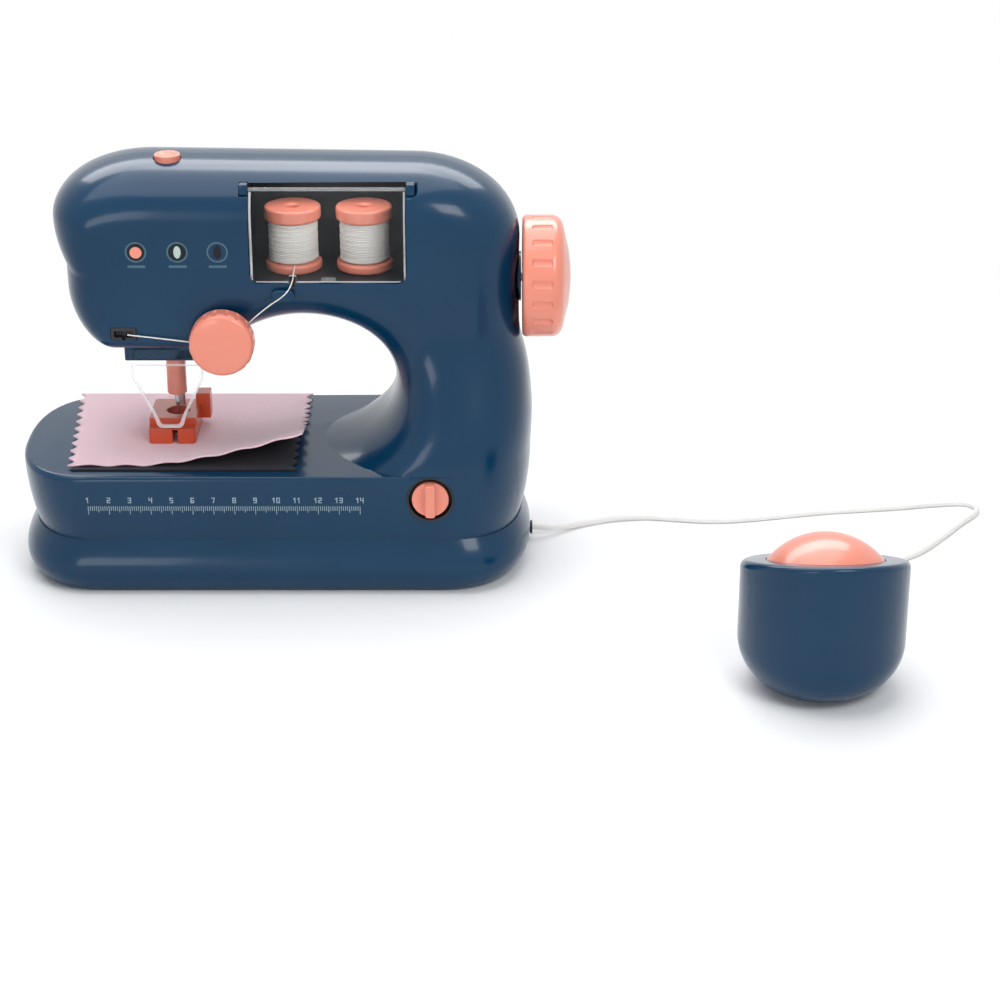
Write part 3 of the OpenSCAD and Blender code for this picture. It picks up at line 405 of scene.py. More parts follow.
def soft_corners(x0, z0, x1, z1, r, top_r=None):
    """Outline of a rectangle with round corners, the upper two of top_r where it is given."""
    steps, t = 8, r if top_r is None else top_r
    centres = ((x1 - t, z1 - t, t), (x0 + t, z1 - t, t), (x0 + r, z0 + r, r), (x1 - r, z0 + r, r))
    out = []
    for n, (cx, cz, q) in enumerate(centres):
        for k in range(steps + 1):
            a = math.pi / 2 * (n + k / steps)
            out.append((cx + q * math.cos(a), cz + q * math.sin(a)))
    return out


def port(bm, x0, z0, x1, z1, r, y0, y1, top_r=None):
    """A soft-cornered opening through the face, for cutting."""
    prism(bm, [point(x, y0, z) for x, z in soft_corners(x0, z0, x1, z1, r, top_r)], point(0, y1 - y0, 0))


def carve(piece, cutter):
    """Cuts the solids of a bmesh out of a piece."""
    tool = linked("cutter", mesh_of(cutter, "cutter"))
    cut = piece.modifiers.new("cut", "BOOLEAN")
    cut.object, cut.operation, cut.solver = tool, "DIFFERENCE", "EXACT"
    result = mesh_seen(piece)
    piece.modifiers.clear()
    old, piece.data = piece.data, result
    bpy.data.meshes.remove(old)
    bpy.data.objects.remove(tool)
    result.set_sharp_from_angle(angle=math.radians(32.0))


def solid(shape, *sizes):
    """A new bmesh with one shape in it; shape is a helper such as rod or block."""
    bm = bmesh.new()
    shape(bm, *sizes)
    return bm


def cut_by(piece, shape, *sizes):
    """Cuts one shape out of a piece."""
    carve(piece, solid(shape, *sizes))


@contextlib.contextmanager
def reopened(piece):
    """The mesh of a piece as a bmesh, written back at the end."""
    bm = bmesh.new()
    bm.from_mesh(piece.data)
    yield bm
    bm.to_mesh(piece.data)
    bm.free()


# Moulded body


def smooth(t):
    """Soft step from 0 to 1."""
    k = min(1.0, max(0.0, t))
    return k * k * (3 - 2 * k)


def inset(t, power):
    """Share of the edge's run that is used up at depth share t."""
    return 1 - max(0.0, 1 - t ** power) ** (1 / power)


FLARE_Z, FLARE_RUN = 126.0, 64.0


def half_depth(z):
    """Half depth of the body, which flares out to the bed."""
    return ARM_HALF + (BED_HALF - ARM_HALF) * smooth((FLARE_Z - z) / FLARE_RUN)


RIGHT_SIDE = (
    (61.5, 126.7), (66, 127.0), (72, 127.3), (79, 127.4), (86, 127.0), (93, 126.3), (100, 125.4),
    (106, 124.2), (112, 122.6), (118, 121.3), (126, 120.8), (140, 120.7), (152, 120.7), (165, 121.0))


def along(pairs, t):
    """Smooth curve through pairs, at a share t of their count."""
    s = t * (len(pairs) - 1)
    i = min(int(s), len(pairs) - 2)
    f = s - i
    a, b, c, d = (Vector(pairs[min(max(k, 0), len(pairs) - 1)]) for k in (i - 1, i, i + 1, i + 2))
    return 0.5 * (2 * b + (c - a) * f + (2 * a - 5 * b + 4 * c - d) * f * f
                  + (3 * b - a - 3 * c + d) * f ** 3)


CAP_X, CAP_Z, CAP_A, CAP_B = -54.0, TOP_Z - 27.3, 46.5, 27.3
CORNER_X, CORNER_Z, CORNER_A = 70.0, 165.0, 51.0
TOP_FALL = 1.8
PINCH_Z, PINCH_R = 156.0, 47.9
CHIN_X, CHIN_Z, CHIN_R = -71.0, 146.0, 24.3
TOP_RUN, LEFT_RUN, CHIN_RUN, UNDER_RUN, LIP_RUN = 26.0, 23.5, 18.3, 15.0, 25.0
EDGE_POWER, UNDER_POWER = 2.3, 4.0
TURNS = (36, 16, 34, 22, 8, 6)
INNER_TURNS = (18, 26, 24, 34, 20)


def shares(count, first=0):
    """Even shares of a way, from its start or from a later step."""
    return [k / count for k in range(first, first + count)]


def bend(x, z, across, up, start, end, steps):
    """Points of an elliptic arc between two angles, at shares of the way."""
    angles = [start + (end - start) * s for s in steps]
    return [(x + across * math.cos(a), z + up * math.sin(a)) for a in angles]


def outline(t, wall=0.0):
    """The C shaped outline at depth share t: up the right side, over the arm, round head and throat."""
    g = wall * (1 - t * t)
    top, left, low_left = (run * inset(t, EDGE_POWER) + g for run in (TOP_RUN, LEFT_RUN, CHIN_RUN))
    lip, right = (run * inset(t, SOFT) + g for run in (LIP_RUN, END_RUN))
    head = HEAD_Z + UNDER_RUN * inset(t, UNDER_POWER) + g
    ta, tu, tl = THROAT_A + lip, THROAT_UP + lip, THROAT_LOW + lip
    toe = math.asin((BED_Z - THROAT_Z) / tl)
    hit = math.asin((head - THROAT_Z) / tu)
    hit_x = THROAT_X - ta * math.cos(hit)
    quarter = math.pi / 2
    n_right, n_corner, n_top, n_cap, n_down, n_left = TURNS
    n_toe, n_lip, n_arch, n_under, n_chin = INNER_TURNS
    side = [along(RIGHT_SIDE, k / (n_right - 1)) for k in range(n_right)]
    out = [(x - right, z) for z, x in side]
    rise = TOP_Z - TOP_FALL - CORNER_Z - top
    out += bend(CORNER_X, CORNER_Z, CORNER_A - right, rise, 0, quarter, shares(n_corner, 1))
    for s in shares(n_top, 1):
        out.append((CORNER_X + (CAP_X - CORNER_X) * s, TOP_Z - TOP_FALL * (1 - s) - top))
    out += bend(CAP_X, CAP_Z, CAP_A - left, CAP_B - top, quarter, 2 * quarter, shares(n_cap, 1))
    for s in shares(n_down, 1):
        z = CAP_Z + (PINCH_Z - CAP_Z) * s
        pinch = (1 - math.sqrt(1 - ((CAP_Z - z) / PINCH_R) ** 2)) * (1 - t ** 6)
        out.append((CAP_X - (CAP_A - left) * (1 - pinch), z))
    for k in range(n_left):
        out.append((CHIN_X - CHIN_R + low_left, PINCH_Z + (CHIN_Z - PINCH_Z) * (k + 0.6) / n_left))
    inner = bend(THROAT_X, THROAT_Z, ta, tl, toe, 0, shares(n_toe))
    inner[0] = (inner[0][0], BED_Z)
    inner += bend(THROAT_X, THROAT_Z, ta, tu, 0, quarter, shares(n_lip))
    inner += bend(THROAT_X, THROAT_Z, ta, tu, quarter, 2 * quarter - hit, shares(n_arch))
    inner += [(hit_x + (CHIN_X - hit_x) * s, head) for s in shares(n_under)]
    inner += bend(CHIN_X, CHIN_Z, CHIN_R - low_left, CHIN_Z - head, -quarter, -2 * quarter, shares(n_chin))
    return out + inner[::-1]


EDGE_RINGS = 18
FACE_RINGS = 5


def body_rows(side, wall):
    """Rows of points from the parting line, over the soft edge and across the face to its middle."""
    rows = []
    for k in range(EDGE_RINGS + 1):
        t = math.sin(math.pi / 2 * k / EDGE_RINGS) ** (2 / SOFT)
        rows.append([point(x, side * t * (half_depth(z) - wall), z) for x, z in outline(t, wall)])
    rim = outline(1.0, wall)
    for k in range(1, FACE_RINGS + 1):
        s = k / FACE_RINGS * 0.5
        row = []
        for (x, z), (px, pz) in zip(rim, rim[::-1]):
            qx, qz = x + (px - x) * s, z + (pz - z) * s
            row.append(point(qx, side * (half_depth(qz) - wall), qz))
        rows.append(row)
    return rows


def face_y(z):
    """Front of the arm near its top."""
    share = min(1.0, max(0.0, (TOP_Z - z) / TOP_RUN))
    return -ARM_HALF * (1 - (1 - share) ** EDGE_POWER) ** (1 / EDGE_POWER)


HINGE_Y = face_y(HINGE_Z) + 1.3


def body_shell(name, side):
    """Half of the body: an outer and an inner skin joined at the parting line and the foot."""
    bm = bmesh.new()
    for wall in (0.0, WALL):
        loft(bm, body_rows(side, wall))
    bmesh.ops.remove_doubles(bm, verts=bm.verts, dist=1e-6)
    bmesh.ops.bridge_loops(bm, edges=open_edges(bm))
    bmesh.ops.dissolve_degenerate(bm, dist=2e-6, edges=bm.edges)
    face_outward(bm)
    return finish_piece(bm, name, "housing", "navy_plastic")


def shared_cuts(bm):
    """Cuts that both shells have: the head block's seat and the shaft's bush."""
    x0, y0, _, x1, y1, z1 = HEAD_BLOCK
    block(bm, (x0 - SEAT, y0 - SEAT, 100), (x1 + SEAT, y1 + SEAT, z1 + SEAT))
    rod(bm, point(110, 0, SHAFT_Z), BUSH_R + SEAT, point(20, 0, 0))


def front_cuts():
    """Window, seats of the thread guide and the hook, and bores of the button and the tension post."""
    bm = solid(shared_cuts)
    port(bm, *WINDOW, 4, -60, -10, 0.6)
    port(bm, GUIDE_X - 4.65, GUIDE_Z - 1.65, GUIDE_X + 4.65, GUIDE_Z + 1.65, 1.5, -50, -30)
    port(bm, HOOK[0] - SEAT, HOOK[1] - SEAT, HOOK[2] + SEAT, HOOK[3] + SEAT, 0.3, -50, -28)
    rod(bm, point(BUTTON_X, BUTTON_Y, 190), 6.7, point(0, 0, 30))
    rod(bm, point(TENSION_X, -60, TENSION_Z), 8.65, point(0, 40, 0))
    return bm


def notch_cuts():
    """Notches in the window's edge, for the thread and the hinge blocks."""
    bm = solid(port, 13.2, 149.6, 15.8, 153, 1.1, -60, -20)
    for x in HINGE_X:
        port(bm, x - SEAT, HINGE_Z - 2.75, x + HINGE_W + SEAT, HINGE_Z + 2.75, 0.3,
             HINGE_Y - 6, HINGE_Y + 3.8)
    return bm


SCREWS = ((-80, 165), (85, 178), (100, 75), (-30, 150))


def rear_cuts():
    """Screw bores and a row of vents."""
    bm = solid(shared_cuts)
    for x, z in SCREWS:
        rod(bm, point(x, 20, z), 3.15, point(0, 50, 0))
    for k in range(5):
        port(bm, 76, 88.7 + 6 * k, 101, 91.1 + 6 * k, 1.1, 30, 70)
    return bm


front_shell = body_shell("front_shell", -1)
carve(front_shell, front_cuts())
carve(front_shell, notch_cuts())
rear_shell = body_shell("rear_shell", 1)
carve(rear_shell, rear_cuts())


# Base: bed tub and plinth

BASE_LEFT, TUB_RIGHT, PLINTH_RIGHT, PLINTH_HALF = -117.5, 122.0, 119.0, 50.0
RIM_R, RIM_TRIM = 3.0, 2.6


def plan_ring(x0, x1, depth, run, z, trim=0.0, count=192):
    """Plan outline of the base with soft ends; trim draws the rim in on the open bed."""
    middle = (x0 + x1) / 2
    out = []
    for k in range(count):
        a = 2 * math.pi * (k + 0.5) / count
        c, s = math.cos(a), math.sin(a)
        u, v = run * abs(c) ** (2 / SOFT), depth * abs(s) ** (2 / SOFT)
        x, y = (x1 - run + u if c > 0 else x0 + run - u), math.copysign(v, s)
        w = trim * (1 - smooth((x - 50) / 14))
        x -= w * math.copysign(1, x - middle) * (abs(x - middle) / (x1 - middle)) ** 6
        out.append(point(x, y * (1 - w / depth), z))
    return out


def tub_sizes(z):
    """Left end, right end and half depth of the tub at a height."""
    b = 1 - (1 - (z - CREASE_Z) / (BED_Z - CREASE_Z)) ** 2
    return BASE_LEFT - 4.5 * b, TUB_RIGHT + 4.7 * b, BED_HALF - 4.5 + 4.5 * b


def tub_ring(z, trim=0.0, g=0.0):
    """Ring of the tub at a height, drawn in by g for its inner skin."""
    x0, x1, depth = tub_sizes(z)
    return plan_ring(x0 + g, x1 - g, depth - g, END_RUN - g, z, trim)


def plinth_ring(z, g=0.0):
    """Ring of the plinth at a height, drawn in by g for its inner skin."""
    k = z / CREASE_Z
    b = 6 * math.sin(math.pi * k ** 0.85) + 0.5 * k
    return plan_ring(BASE_LEFT - b + g, PLINTH_RIGHT + b + 3 * k - g, PLINTH_HALF + b - g, END_RUN - g, z)


def base_tub():
    """Bed tub with a soft rim, cut for the throat plate, the column and the switch."""
    wall_h = BED_Z - RIM_R - CREASE_Z
    rings = [tub_ring(z, 0.0, WALL) for z in (BED_Z - WALL, 50, 42, 34, CREASE_Z + 0.1)]
    rings += [tub_ring(CREASE_Z + wall_h * k / 14) for k in range(15)]
    for k in range(1, 9):
        a = math.pi / 2 * k / 8
        rings.append(tub_ring(BED_Z - RIM_R + RIM_R * math.sin(a), RIM_TRIM * (1 - math.cos(a))))
    bm = bmesh.new()
    loft(bm, rings, closed=True)
    bmesh.ops.holes_fill(bm, edges=open_edges(bm), sides=0)
    face_outward(bm)
    tub = finish_piece(bm, "bed_tub", "housing", "navy_plastic")
    cut = solid(block, (NEEDLE_X - 18, -14, BED_Z - 1.5), (NEEDLE_X + 18, 14, BED_Z + 5))
    block(cut, (80, -12, 50), (108, 12, 70))
    rod(cut, point(SWITCH_X, -60, SWITCH_Z), CUP_R, point(0, 15, 0))
    carve(tub, cut)
    cut_by(tub, rod, point(NEEDLE_X, 0, 50), 6, point(0, 0, 20))


def base_plinth():
    """Plinth under the crease, open at both ends and bored for the cord."""
    rings = [plinth_ring(CREASE_Z * k / 22) for k in range(23)]
    rings += [plinth_ring(0.1 + (CREASE_Z - 0.2) * k / 10, WALL) for k in range(10, -1, -1)]
    bm = bmesh.new()
    loft(bm, rings, closed=True)
    bmesh.ops.bridge_loops(bm, edges=open_edges(bm))
    face_outward(bm)
    plinth = finish_piece(bm, "plinth", "housing", "navy_plastic")
    cut_by(plinth, rod, point(105, CORD_Y, CORD_Z), GLAND_R, point(35, 0, 0))


base_tub()
base_plinth()


# Turned and moulded controls


def tube_along(name, places, radius, sides, body, slot):
    """A round tube along a line of places, as a mesh."""
    curve = bpy.data.curves.new(name, "CURVE")
    curve.dimensions = "3D"
    line = curve.splines.new("POLY")
    line.points.add(len(places) - 1)
    for spot, place in zip(line.points, places):
        spot.co = (*place, 1.0)
    curve.bevel_depth, curve.bevel_resolution, curve.use_fill_caps = radius * MM, sides, True
    shape = linked(name + "_path", curve)
    mesh = mesh_seen(shape)
    bpy.data.objects.remove(shape)
    bm = bmesh.new()
    bm.from_mesh(mesh)
    bpy.data.meshes.remove(mesh)
    bmesh.ops.remove_doubles(bm, verts=bm.verts, dist=1e-7)
    face_outward(bm)
    return finish_piece(bm, name, body, slot, angle=60)


def spline_points(places, steps):
    """Places along a smooth curve, with a count of steps between each two that are given."""
    count = steps * (len(places) - 1)
    return [along(places, k / count) for k in range(count + 1)]


def arc(cx, cy, rx, ry, start, end, steps):
    """Points of an elliptic arc, angles in degrees, with both its ends."""
    return bend(cx, cy, rx, ry, math.radians(start), math.radians(end), [*shares(steps), 1.0])


def ring_of(count, radius, turn=0.0):
    """Points evenly round a circle, turned by a share of a step."""
    angles = [2 * math.pi * (k + turn) / count for k in range(count)]
    return [(radius * math.cos(a), radius * math.sin(a)) for a in angles]


def pod(bm, radius, end, length, turns, centre, axis, steps):
    """A rod with soft ends, for cutting a grip."""
    profile = arc(0, end, radius, end, -80, 0, turns) + arc(0, length - end, radius, end, 0, 80, turns)
    turned(bm, [(0, 0), *profile, (0, length)], centre, axis, steps)


WHEEL_X, WHEEL_R, WHEEL_W = 122.3, 29.3, 20.0
GRIPS = 18


def handwheel():
    """Hollow-backed wheel with a soft crown and grips round its rim."""
    r, w = WHEEL_R, WHEEL_W
    back = [(0, 0), (9, 0), (10, 10), (20, 12), (r - 5, 9), (r - 4.4, 0), (r - 1.2, 0), (r, 1.4), (r, w - 6)]
    front = arc(r - 7, w - 6, 7, 6, 4, 66, 10)
    crown = [(r * 0.62, w + 1.15), (r * 0.45, w + 2.3), (r * 0.25, w + 3.05), (r * 0.1, w + 3.33),
             (0, w + 3.4)]
    bm = solid(turned, rounded(back, 0.9) + front + crown, point(WHEEL_X, 0, SHAFT_Z), RIGHT, 144)
    wheel = finish_piece(bm, "handwheel", "drive", "coral_plastic")
    cut = solid(rod, point(WHEEL_X - 5, 0, SHAFT_Z), 2.5, point(17.4, 0, 0), 40)
    for y, z in ring_of(GRIPS, r + 1.9, 0.5):
        pod(cut, 2.8, 1.6, 11, 6, point(WHEEL_X + 4, y, SHAFT_Z + z), RIGHT, 32)
    carve(wheel, cut)


def tension_knob():
    """Round dial with grips round its side."""
    r, t = 15.3, 11.0
    side = rounded([(0, 0), (r - 0.6, 0), (r, 0.6), (r, t - 3.4)], 0.4)
    crown = arc(r - 2.9, t - 3.4, 2.7, 2.6, 6, 80, 8) + [(r * 0.6, t - 0.35), (r * 0.3, t - 0.08), (0, t)]
    bm = solid(turned, side + crown, point(TENSION_X, -37.8, TENSION_Z), FRONT, 128)
    knob = finish_piece(bm, "tension_knob", "tension_dial", "coral_plastic")
    cut = solid(rod, point(TENSION_X, -36.8, TENSION_Z), 2.55, point(0, -8.6, 0), 40)
    for x, z in ring_of(GRIPS, r + 0.9):
        pod(cut, 1.4, 0.9, t - 2.9, 5, point(TENSION_X + x, -39.2, TENSION_Z + z), FRONT, 28)
    carve(knob, cut)


def top_button():
    """Dished button with a collar that keeps it in."""
    r, top = 6.2, TOP_Z + 1.6
    profile = [(0, 193), (r + 1.6, 193), (r + 1.6, 195), (r, 195), (r, top), (r - 2.4, top),
               (r - 3, top - 0.6), (0, top - 0.9)]
    bm = solid(turned, rounded(profile, 0.8, 6), point(BUTTON_X, BUTTON_Y, 0), UP)
    finish_piece(bm, "top_button", "button", "coral_plastic")


def switch_knob():
    """Dial with a grip left standing between two cuts, a pointer and a stub shaft."""
    x, z, r = SWITCH_X, SWITCH_Z, 8.8
    profile = [(0, 0), (r - 0.2, 0), (r, 4.4), (r - 0.6, 8.4), (0, 8.4)]
    pointer = ((-4, -6.4), (-1, -9.5), (0, -9.8), (1, -9.5), (4, -6.4))
    bm = solid(turned, rounded(profile, 0.9, 6), point(x, -49.6, z), FRONT)
    knob = finish_piece(bm, "switch_knob", "switch_dial", "coral_plastic")
    cut = bmesh.new()
    for side in (-1, 1):
        low, high = sorted((x + side * 2.2, x + side * 14))
        block(cut, (low, -62, z - 14), (high, -54, z + 14), 0.5)
    carve(knob, cut)
    with reopened(knob) as bm:
        prism(bm, [point(x + u, -49.6, z + w) for u, w in pointer], point(0, -4.4, 0))
        rod(bm, point(x, -50, z), 2, point(0, 7, 0), 32)


def switch_cup():
    """Round cup that the switch knob sits in."""
    bore, inner = 2.05, CUP_R - 1.2
    profile = [(bore, 0), (CUP_R, 0), (CUP_R, 7.3), (inner, 7.3), (inner, 2), (bore, 2), (bore, 0)]
    bm = solid(turned, rounded(profile, 0.35), point(SWITCH_X, -47, SWITCH_Z), FRONT)
    finish_piece(bm, "switch_cup", "housing", "black_plastic")


handwheel()
tension_knob()
top_button()
switch_knob()
switch_cup()


# Spools, thread and the reel compartment

REEL_R, REEL_H, REEL_BORE, REEL_CORE = 13.5, 31.0, 3.1, 7.0
LOW_FLANGE, HIGH_FLANGE = 4.4, 6.4
PACK_R, STRAND_R = 10.7, 0.4
THREAD_TURNS, TURN_POINTS = 23, 60


def reel(index):
    """Bored reel with two thick flanges, its thread and the outer turns of the winding."""
    number = index + 1
    body = f"reel_{number}"
    foot = point(SPOOL_X[index], SPOOL_Y, SPOOL_Z)
    under = REEL_H - HIGH_FLANGE
    profile = [(REEL_BORE, 0), (REEL_R, 0), (REEL_R, LOW_FLANGE), (REEL_CORE, LOW_FLANGE), (REEL_CORE, under),
               (REEL_R, under), (REEL_R, REEL_H), (REEL_BORE + 1, REEL_H), (REEL_BORE, REEL_H - 1),
               (REEL_BORE, 0)]
    bm = solid(turned, rounded(profile, 1.5, 6), foot, UP, 112)
    finish_piece(bm, f"spool_{number}", body, "coral_plastic")
    pack_foot = foot + point(0, 0, LOW_FLANGE + 0.2)
    high = under - LOW_FLANGE - 0.4
    profile = [(REEL_CORE, 0), (PACK_R, 0), (PACK_R, high), (REEL_CORE, high), (REEL_CORE, 0)]
    bm = solid(turned, rounded(profile, 0.4), pack_foot, UP)
    finish_piece(bm, f"thread_pack_{number}", body, "thread")
    coil = []
    for k in range(THREAD_TURNS * TURN_POINTS + 1):
        a = 2 * math.pi * k / TURN_POINTS
        r = PACK_R + 0.65 + 0.16 * math.sin(k * 0.071) + 0.1 * math.sin(k * 0.0173 + index)
        rise = 0.5 + (high - 1) * k / (THREAD_TURNS * TURN_POINTS)
        coil.append(pack_foot + point(r * math.cos(a), r * math.sin(a), rise))
    tube_along(f"winding_{number}", coil, STRAND_R, 2, body, "thread")


def spool_tray():
    """Black compartment behind the window, with the two pins."""
    sole, floor, ledge = 147.5, 149.5, 31.9
    side = [(-31, sole), (-31, 184), (-28, 189), (-22, 194), (-14, 198), (17, 198), (17, sole)]
    room = [(-60, floor), (-60, 196), (15, 196), (15, floor)]
    x0, x1 = WINDOW[0] - 3.5, WINDOW[2] + 3.5
    bm = solid(prism, [point(x0, y, z) for y, z in side], point(x1 - x0, 0, 0))
    tray = finish_piece(bm, "spool_tray", "housing", "black_plastic")
    cut_by(tray, prism, [point(x0 + 1.6, y, z) for y, z in room], point(x1 - x0 - 3.2, 0, 0))
    cut = bmesh.new()
    for x in HINGE_X:
        block(cut, (x - 1, -60, HINGE_Z - 8), (x + 5, HINGE_Y + 9, 220))
    carve(tray, cut)
    with reopened(tray) as bm:
        for near, far in ((-ledge, -30), (16, ledge)):
            block(bm, (x0, near, sole), (x1, far, floor), 0.3)
        for x in SPOOL_X:
            turned(bm, rounded([(0, 0), (3, 0), (3, 26.5), (0, 26.5)], 0.8), point(x, SPOOL_Y, 148.5), UP, 48)


reel(0)
reel(1)
spool_tray()


# Clear cover and guard


def cover_line(count):
    """Places down the cover, with the outward push of its inner face, as (y, z, across, up)."""
    out = []
    for k in range(count + 1):
        z = WINDOW[1] + 0.5 + (HINGE_Z - WINDOW[1] - 0.5) * k / count
        slope = (face_y(z + 0.1) - face_y(z - 0.1)) / 0.2
        size = math.sqrt(1 + slope * slope)
        out.append((face_y(z) + 0.3, z, 1 / size, -slope / size))
    return out


def window_cover():
    """Clear cover with soft lower corners and a notch for the thread; its edges and rims carry a painted
    highlight.
    """
    x0, x1, foot, corner = WINDOW[0] + 0.5, WINDOW[2] - 0.5, WINDOW[1], 3.5
    line = cover_line(40)
    inner, outer, lip = ([(y + by * a, z + by * b) for y, z, a, b in line] for by in (0, 2, 2.7))
    bm = solid(prism, [point(x0, y, z) for y, z in inner + outer[::-1]], point(x1 - x0, 0, 0))
    cover = finish_piece(bm, "window_cover", "cover", "clear_plastic", more=("clear_edge",))
    cut_by(cover, block, (12.7, -60, foot - 1), (16.3, -20, foot + 3.6), 0.8)
    turns = [math.pi / 2 * k / 10 for k in range(11)]
    cut = bmesh.new()
    for side, x in ((1, x0), (-1, x1)):
        ring = [(x - side, foot - 1), (x + side * corner, foot - 1)]
        ring += [(x + side * (corner - corner * math.sin(a)), foot + 4 - corner * math.cos(a)) for a in turns]
        ring += [(x - side, foot + 4)]
        prism(cut, [point(px, -60, pz) for px, pz in ring], point(0, 40, 0))
    carve(cover, cut)
    # Faces at the ends and along the upper and lower edges get the whitish painted highlight.
    for face in cover.data.polygons:
        if abs(face.normal.x) > 0.7 or abs(face.normal.z) > 0.95:
            face.material_index = 1
    bm = solid(rod, point(x0, HINGE_Y, HINGE_Z), 1.0, point(x1 - x0, 0, 0), 24)
    rod(bm, point(WINDOW[0] - 3.2, HINGE_Y, HINGE_Z), 0.8, point(WINDOW[2] - WINDOW[0] + 6.4, 0, 0), 24)
    block(bm, (28, -37.6, 153.2), (35, -34.8, 155), 0.5)
    finish_piece(bm, "cover_pin", "cover", "clear_plastic", "clear_rod", extra=True)
    # Thin strips along the cover's two ends, in the whitish painted highlight of its bright edges.
    bm = bmesh.new()
    for low, high in ((x0, x0 + 0.9), (x1 - 0.9, x1)):
        prism(bm, [point(low, y, z) for y, z in outer + lip[::-1]], point(high - low, 0, 0))
    finish_piece(bm, "cover_highlight_rim", "cover", "clear_plastic", "clear_edge", extra=True)


def hinge_blocks():
    """Two bored blocks beside the window that carry the cover's pin."""
    bm = bmesh.new()
    for x in HINGE_X:
        block(bm, (x, HINGE_Y - 2, HINGE_Z - 2.6), (x + HINGE_W, HINGE_Y + 3.6, HINGE_Z + 2.6), 0.5)
    blocks = finish_piece(bm, "hinge_blocks", "housing", "navy_plastic")
    cut_by(blocks, rod, point(-30, HINGE_Y, HINGE_Z), 0.85, point(120, 0, 0), 24)


def guard_outline(y, g, lowered, soft):
    """V shaped outline at depth y, drawn in by g and with its top lowered."""
    half = [(17.5 - g, 114 - lowered), (17.5 - g, 99), (8 - g, 80), (6 - g, 73 + g)]
    ring = half + [(-x, z) for x, z in half[::-1]]
    return [point(FOOT_X + x, y, z) for x, z in rounded(ring + ring[:1], soft, 6)[:-1]]


def needle_guard():
    """Clear V shaped plate with a raised frame, which carries a painted highlight up to a height."""
    border, highlight_z = 1.6, 106.0
    bm = solid(prism, guard_outline(GUARD_Y, 0, 0, 2.4), point(0, -GUARD_T, 0))
    guard = finish_piece(bm, "needle_guard", "housing", "clear_plastic", more=("clear_edge",))
    cut_by(guard, prism, guard_outline(GUARD_Y - GUARD_T / 2, border, 9, 1.6), point(0, -5, 0))
    with reopened(guard) as bm:
        everything = [*bm.verts, *bm.edges, *bm.faces]
        bmesh.ops.bisect_plane(bm, geom=everything, plane_co=point(0, 0, highlight_z), plane_no=UP)
    # Side faces and the frame's front below that height get the whitish painted highlight.
    for face in guard.data.polygons:
        if (abs(face.normal.y) < 0.5 or face.center.y < -19.6 * MM) and face.center.z < highlight_z * MM:
            face.material_index = 1


window_cover()
hinge_blocks()
needle_guard()


# Needle, presser foot and the small guides


def presser_foot():
    """Orange foot with a needle hole, a slot to the front, a bore for its bar and a lug for the lifter."""
    base = 63.6
    plan = [point(FOOT_X + u, v, base) for u, v in soft_corners(-11.5, -17, 11.5, 15, 2)]
    bm = solid(prism, plan, point(0, 0, 11))
    foot = finish_piece(bm, "presser_foot", "presser", "orange_plastic")
    cut_by(foot, block, (NEEDLE_X - 20, -18, base + 7.5), (NEEDLE_X + 20, -11, base + 20))
    cut_by(foot, rod, point(NEEDLE_X, 0, base - 1), 5.8, point(0, 0, 21))
    cut_by(foot, block, (NEEDLE_X - 1.3, -18, base - 1), (NEEDLE_X + 1.3, 1, base + 7))
    cut_by(foot, rod, point(NEEDLE_X, PRESSER_Y, base + 3), 2.5, point(0, 0, 17), 40)
    with reopened(foot) as bm:
        block(bm, (NEEDLE_X + 8, 7, base + 4), (NEEDLE_X + 15, 15, base + 17))
    edge = foot.modifiers.new("edge", "BEVEL")
    edge.width, edge.segments, edge.limit_method, edge.angle_limit = 0.45 * MM, 3, "ANGLE", math.radians(40)


def needle_parts():
    """Needle bar with a flat web at the crank, and the needle."""
    foot, bar_r, needle_r = point(NEEDLE_X, 0, 0), 4.8, 1.5
    bm = solid(turned, rounded([(needle_r, 84), (bar_r, 84), (bar_r, 136), (0, 136)], 0.7), foot, UP, 64)
    turned(bm, [(needle_r, 84), (needle_r, 96), (0, 96)], foot, UP, 40)
    turned(bm, [(0, 152), (bar_r, 152), (bar_r, 171.4), (4.2, 172), (0, 172)], foot, UP, 64)
    block(bm, (NEEDLE_X - 4, -2.4, 136), (NEEDLE_X + 3.6, 2.4, 152), 0.3)
    finish_piece(bm, "needle_bar", "needle_group", "coral_plastic")
    profile = [(0, 72), (0.3, 72.2), (0.9, 78), (needle_r, 79), (needle_r, 96), (0, 96)]
    bm = solid(turned, rounded(profile, 0.3), foot, UP, 40)
    finish_piece(bm, "needle", "needle_group", "steel")


def small_guides():
    """Thread guide under the window, hook on the head and the block that guides the bars."""
    plate = soft_corners(-5.4, -2.7, 5.4, 2.7, 2.6)
    bm = solid(prism, [point(GUIDE_X + u, -36, GUIDE_Z + w) for u, w in plate], point(0, -2.4, 0))
    soften(bm, [e for e in bm.edges if e.calc_face_angle(0) > 1 and e.verts[0].co.y < -38 * MM], 0.6, 4)
    for side in (-3, 3):
        rod(bm, point(GUIDE_X + side, -37, GUIDE_Z), 1.5, point(0, 4.5, 0), 24)
    finish_piece(bm, "thread_guide", "housing", "coral_plastic", "navy_plastic")
    x0, z0, x1, z1 = HOOK
    bm = solid(block, (x0, -36.4, z0), (x1, -31.5, z1), 0.5)
    hook = finish_piece(bm, "hook_guide", "housing", "black_plastic")
    cut_by(hook, block, (x0 + 1.5, -60, z0 + 1.4), (x1 - 1.5, -33, z1 - 1.4), 0.4)
    cut_by(hook, block, (-66.8, -60, 122), (-65.2, -33, 127))
    bm = solid(block, HEAD_BLOCK[:3], HEAD_BLOCK[3:], 0.8)
    head = finish_piece(bm, "head_block", "housing", "navy_plastic")
    cut_by(head, rod, point(NEEDLE_X, 0, 100), 4.85, point(0, 0, 30))
    cut_by(head, rod, point(NEEDLE_X, PRESSER_Y, 100), 2.55, point(0, 0, 30), 48)


presser_foot()
needle_parts()
small_guides()


# Pedal

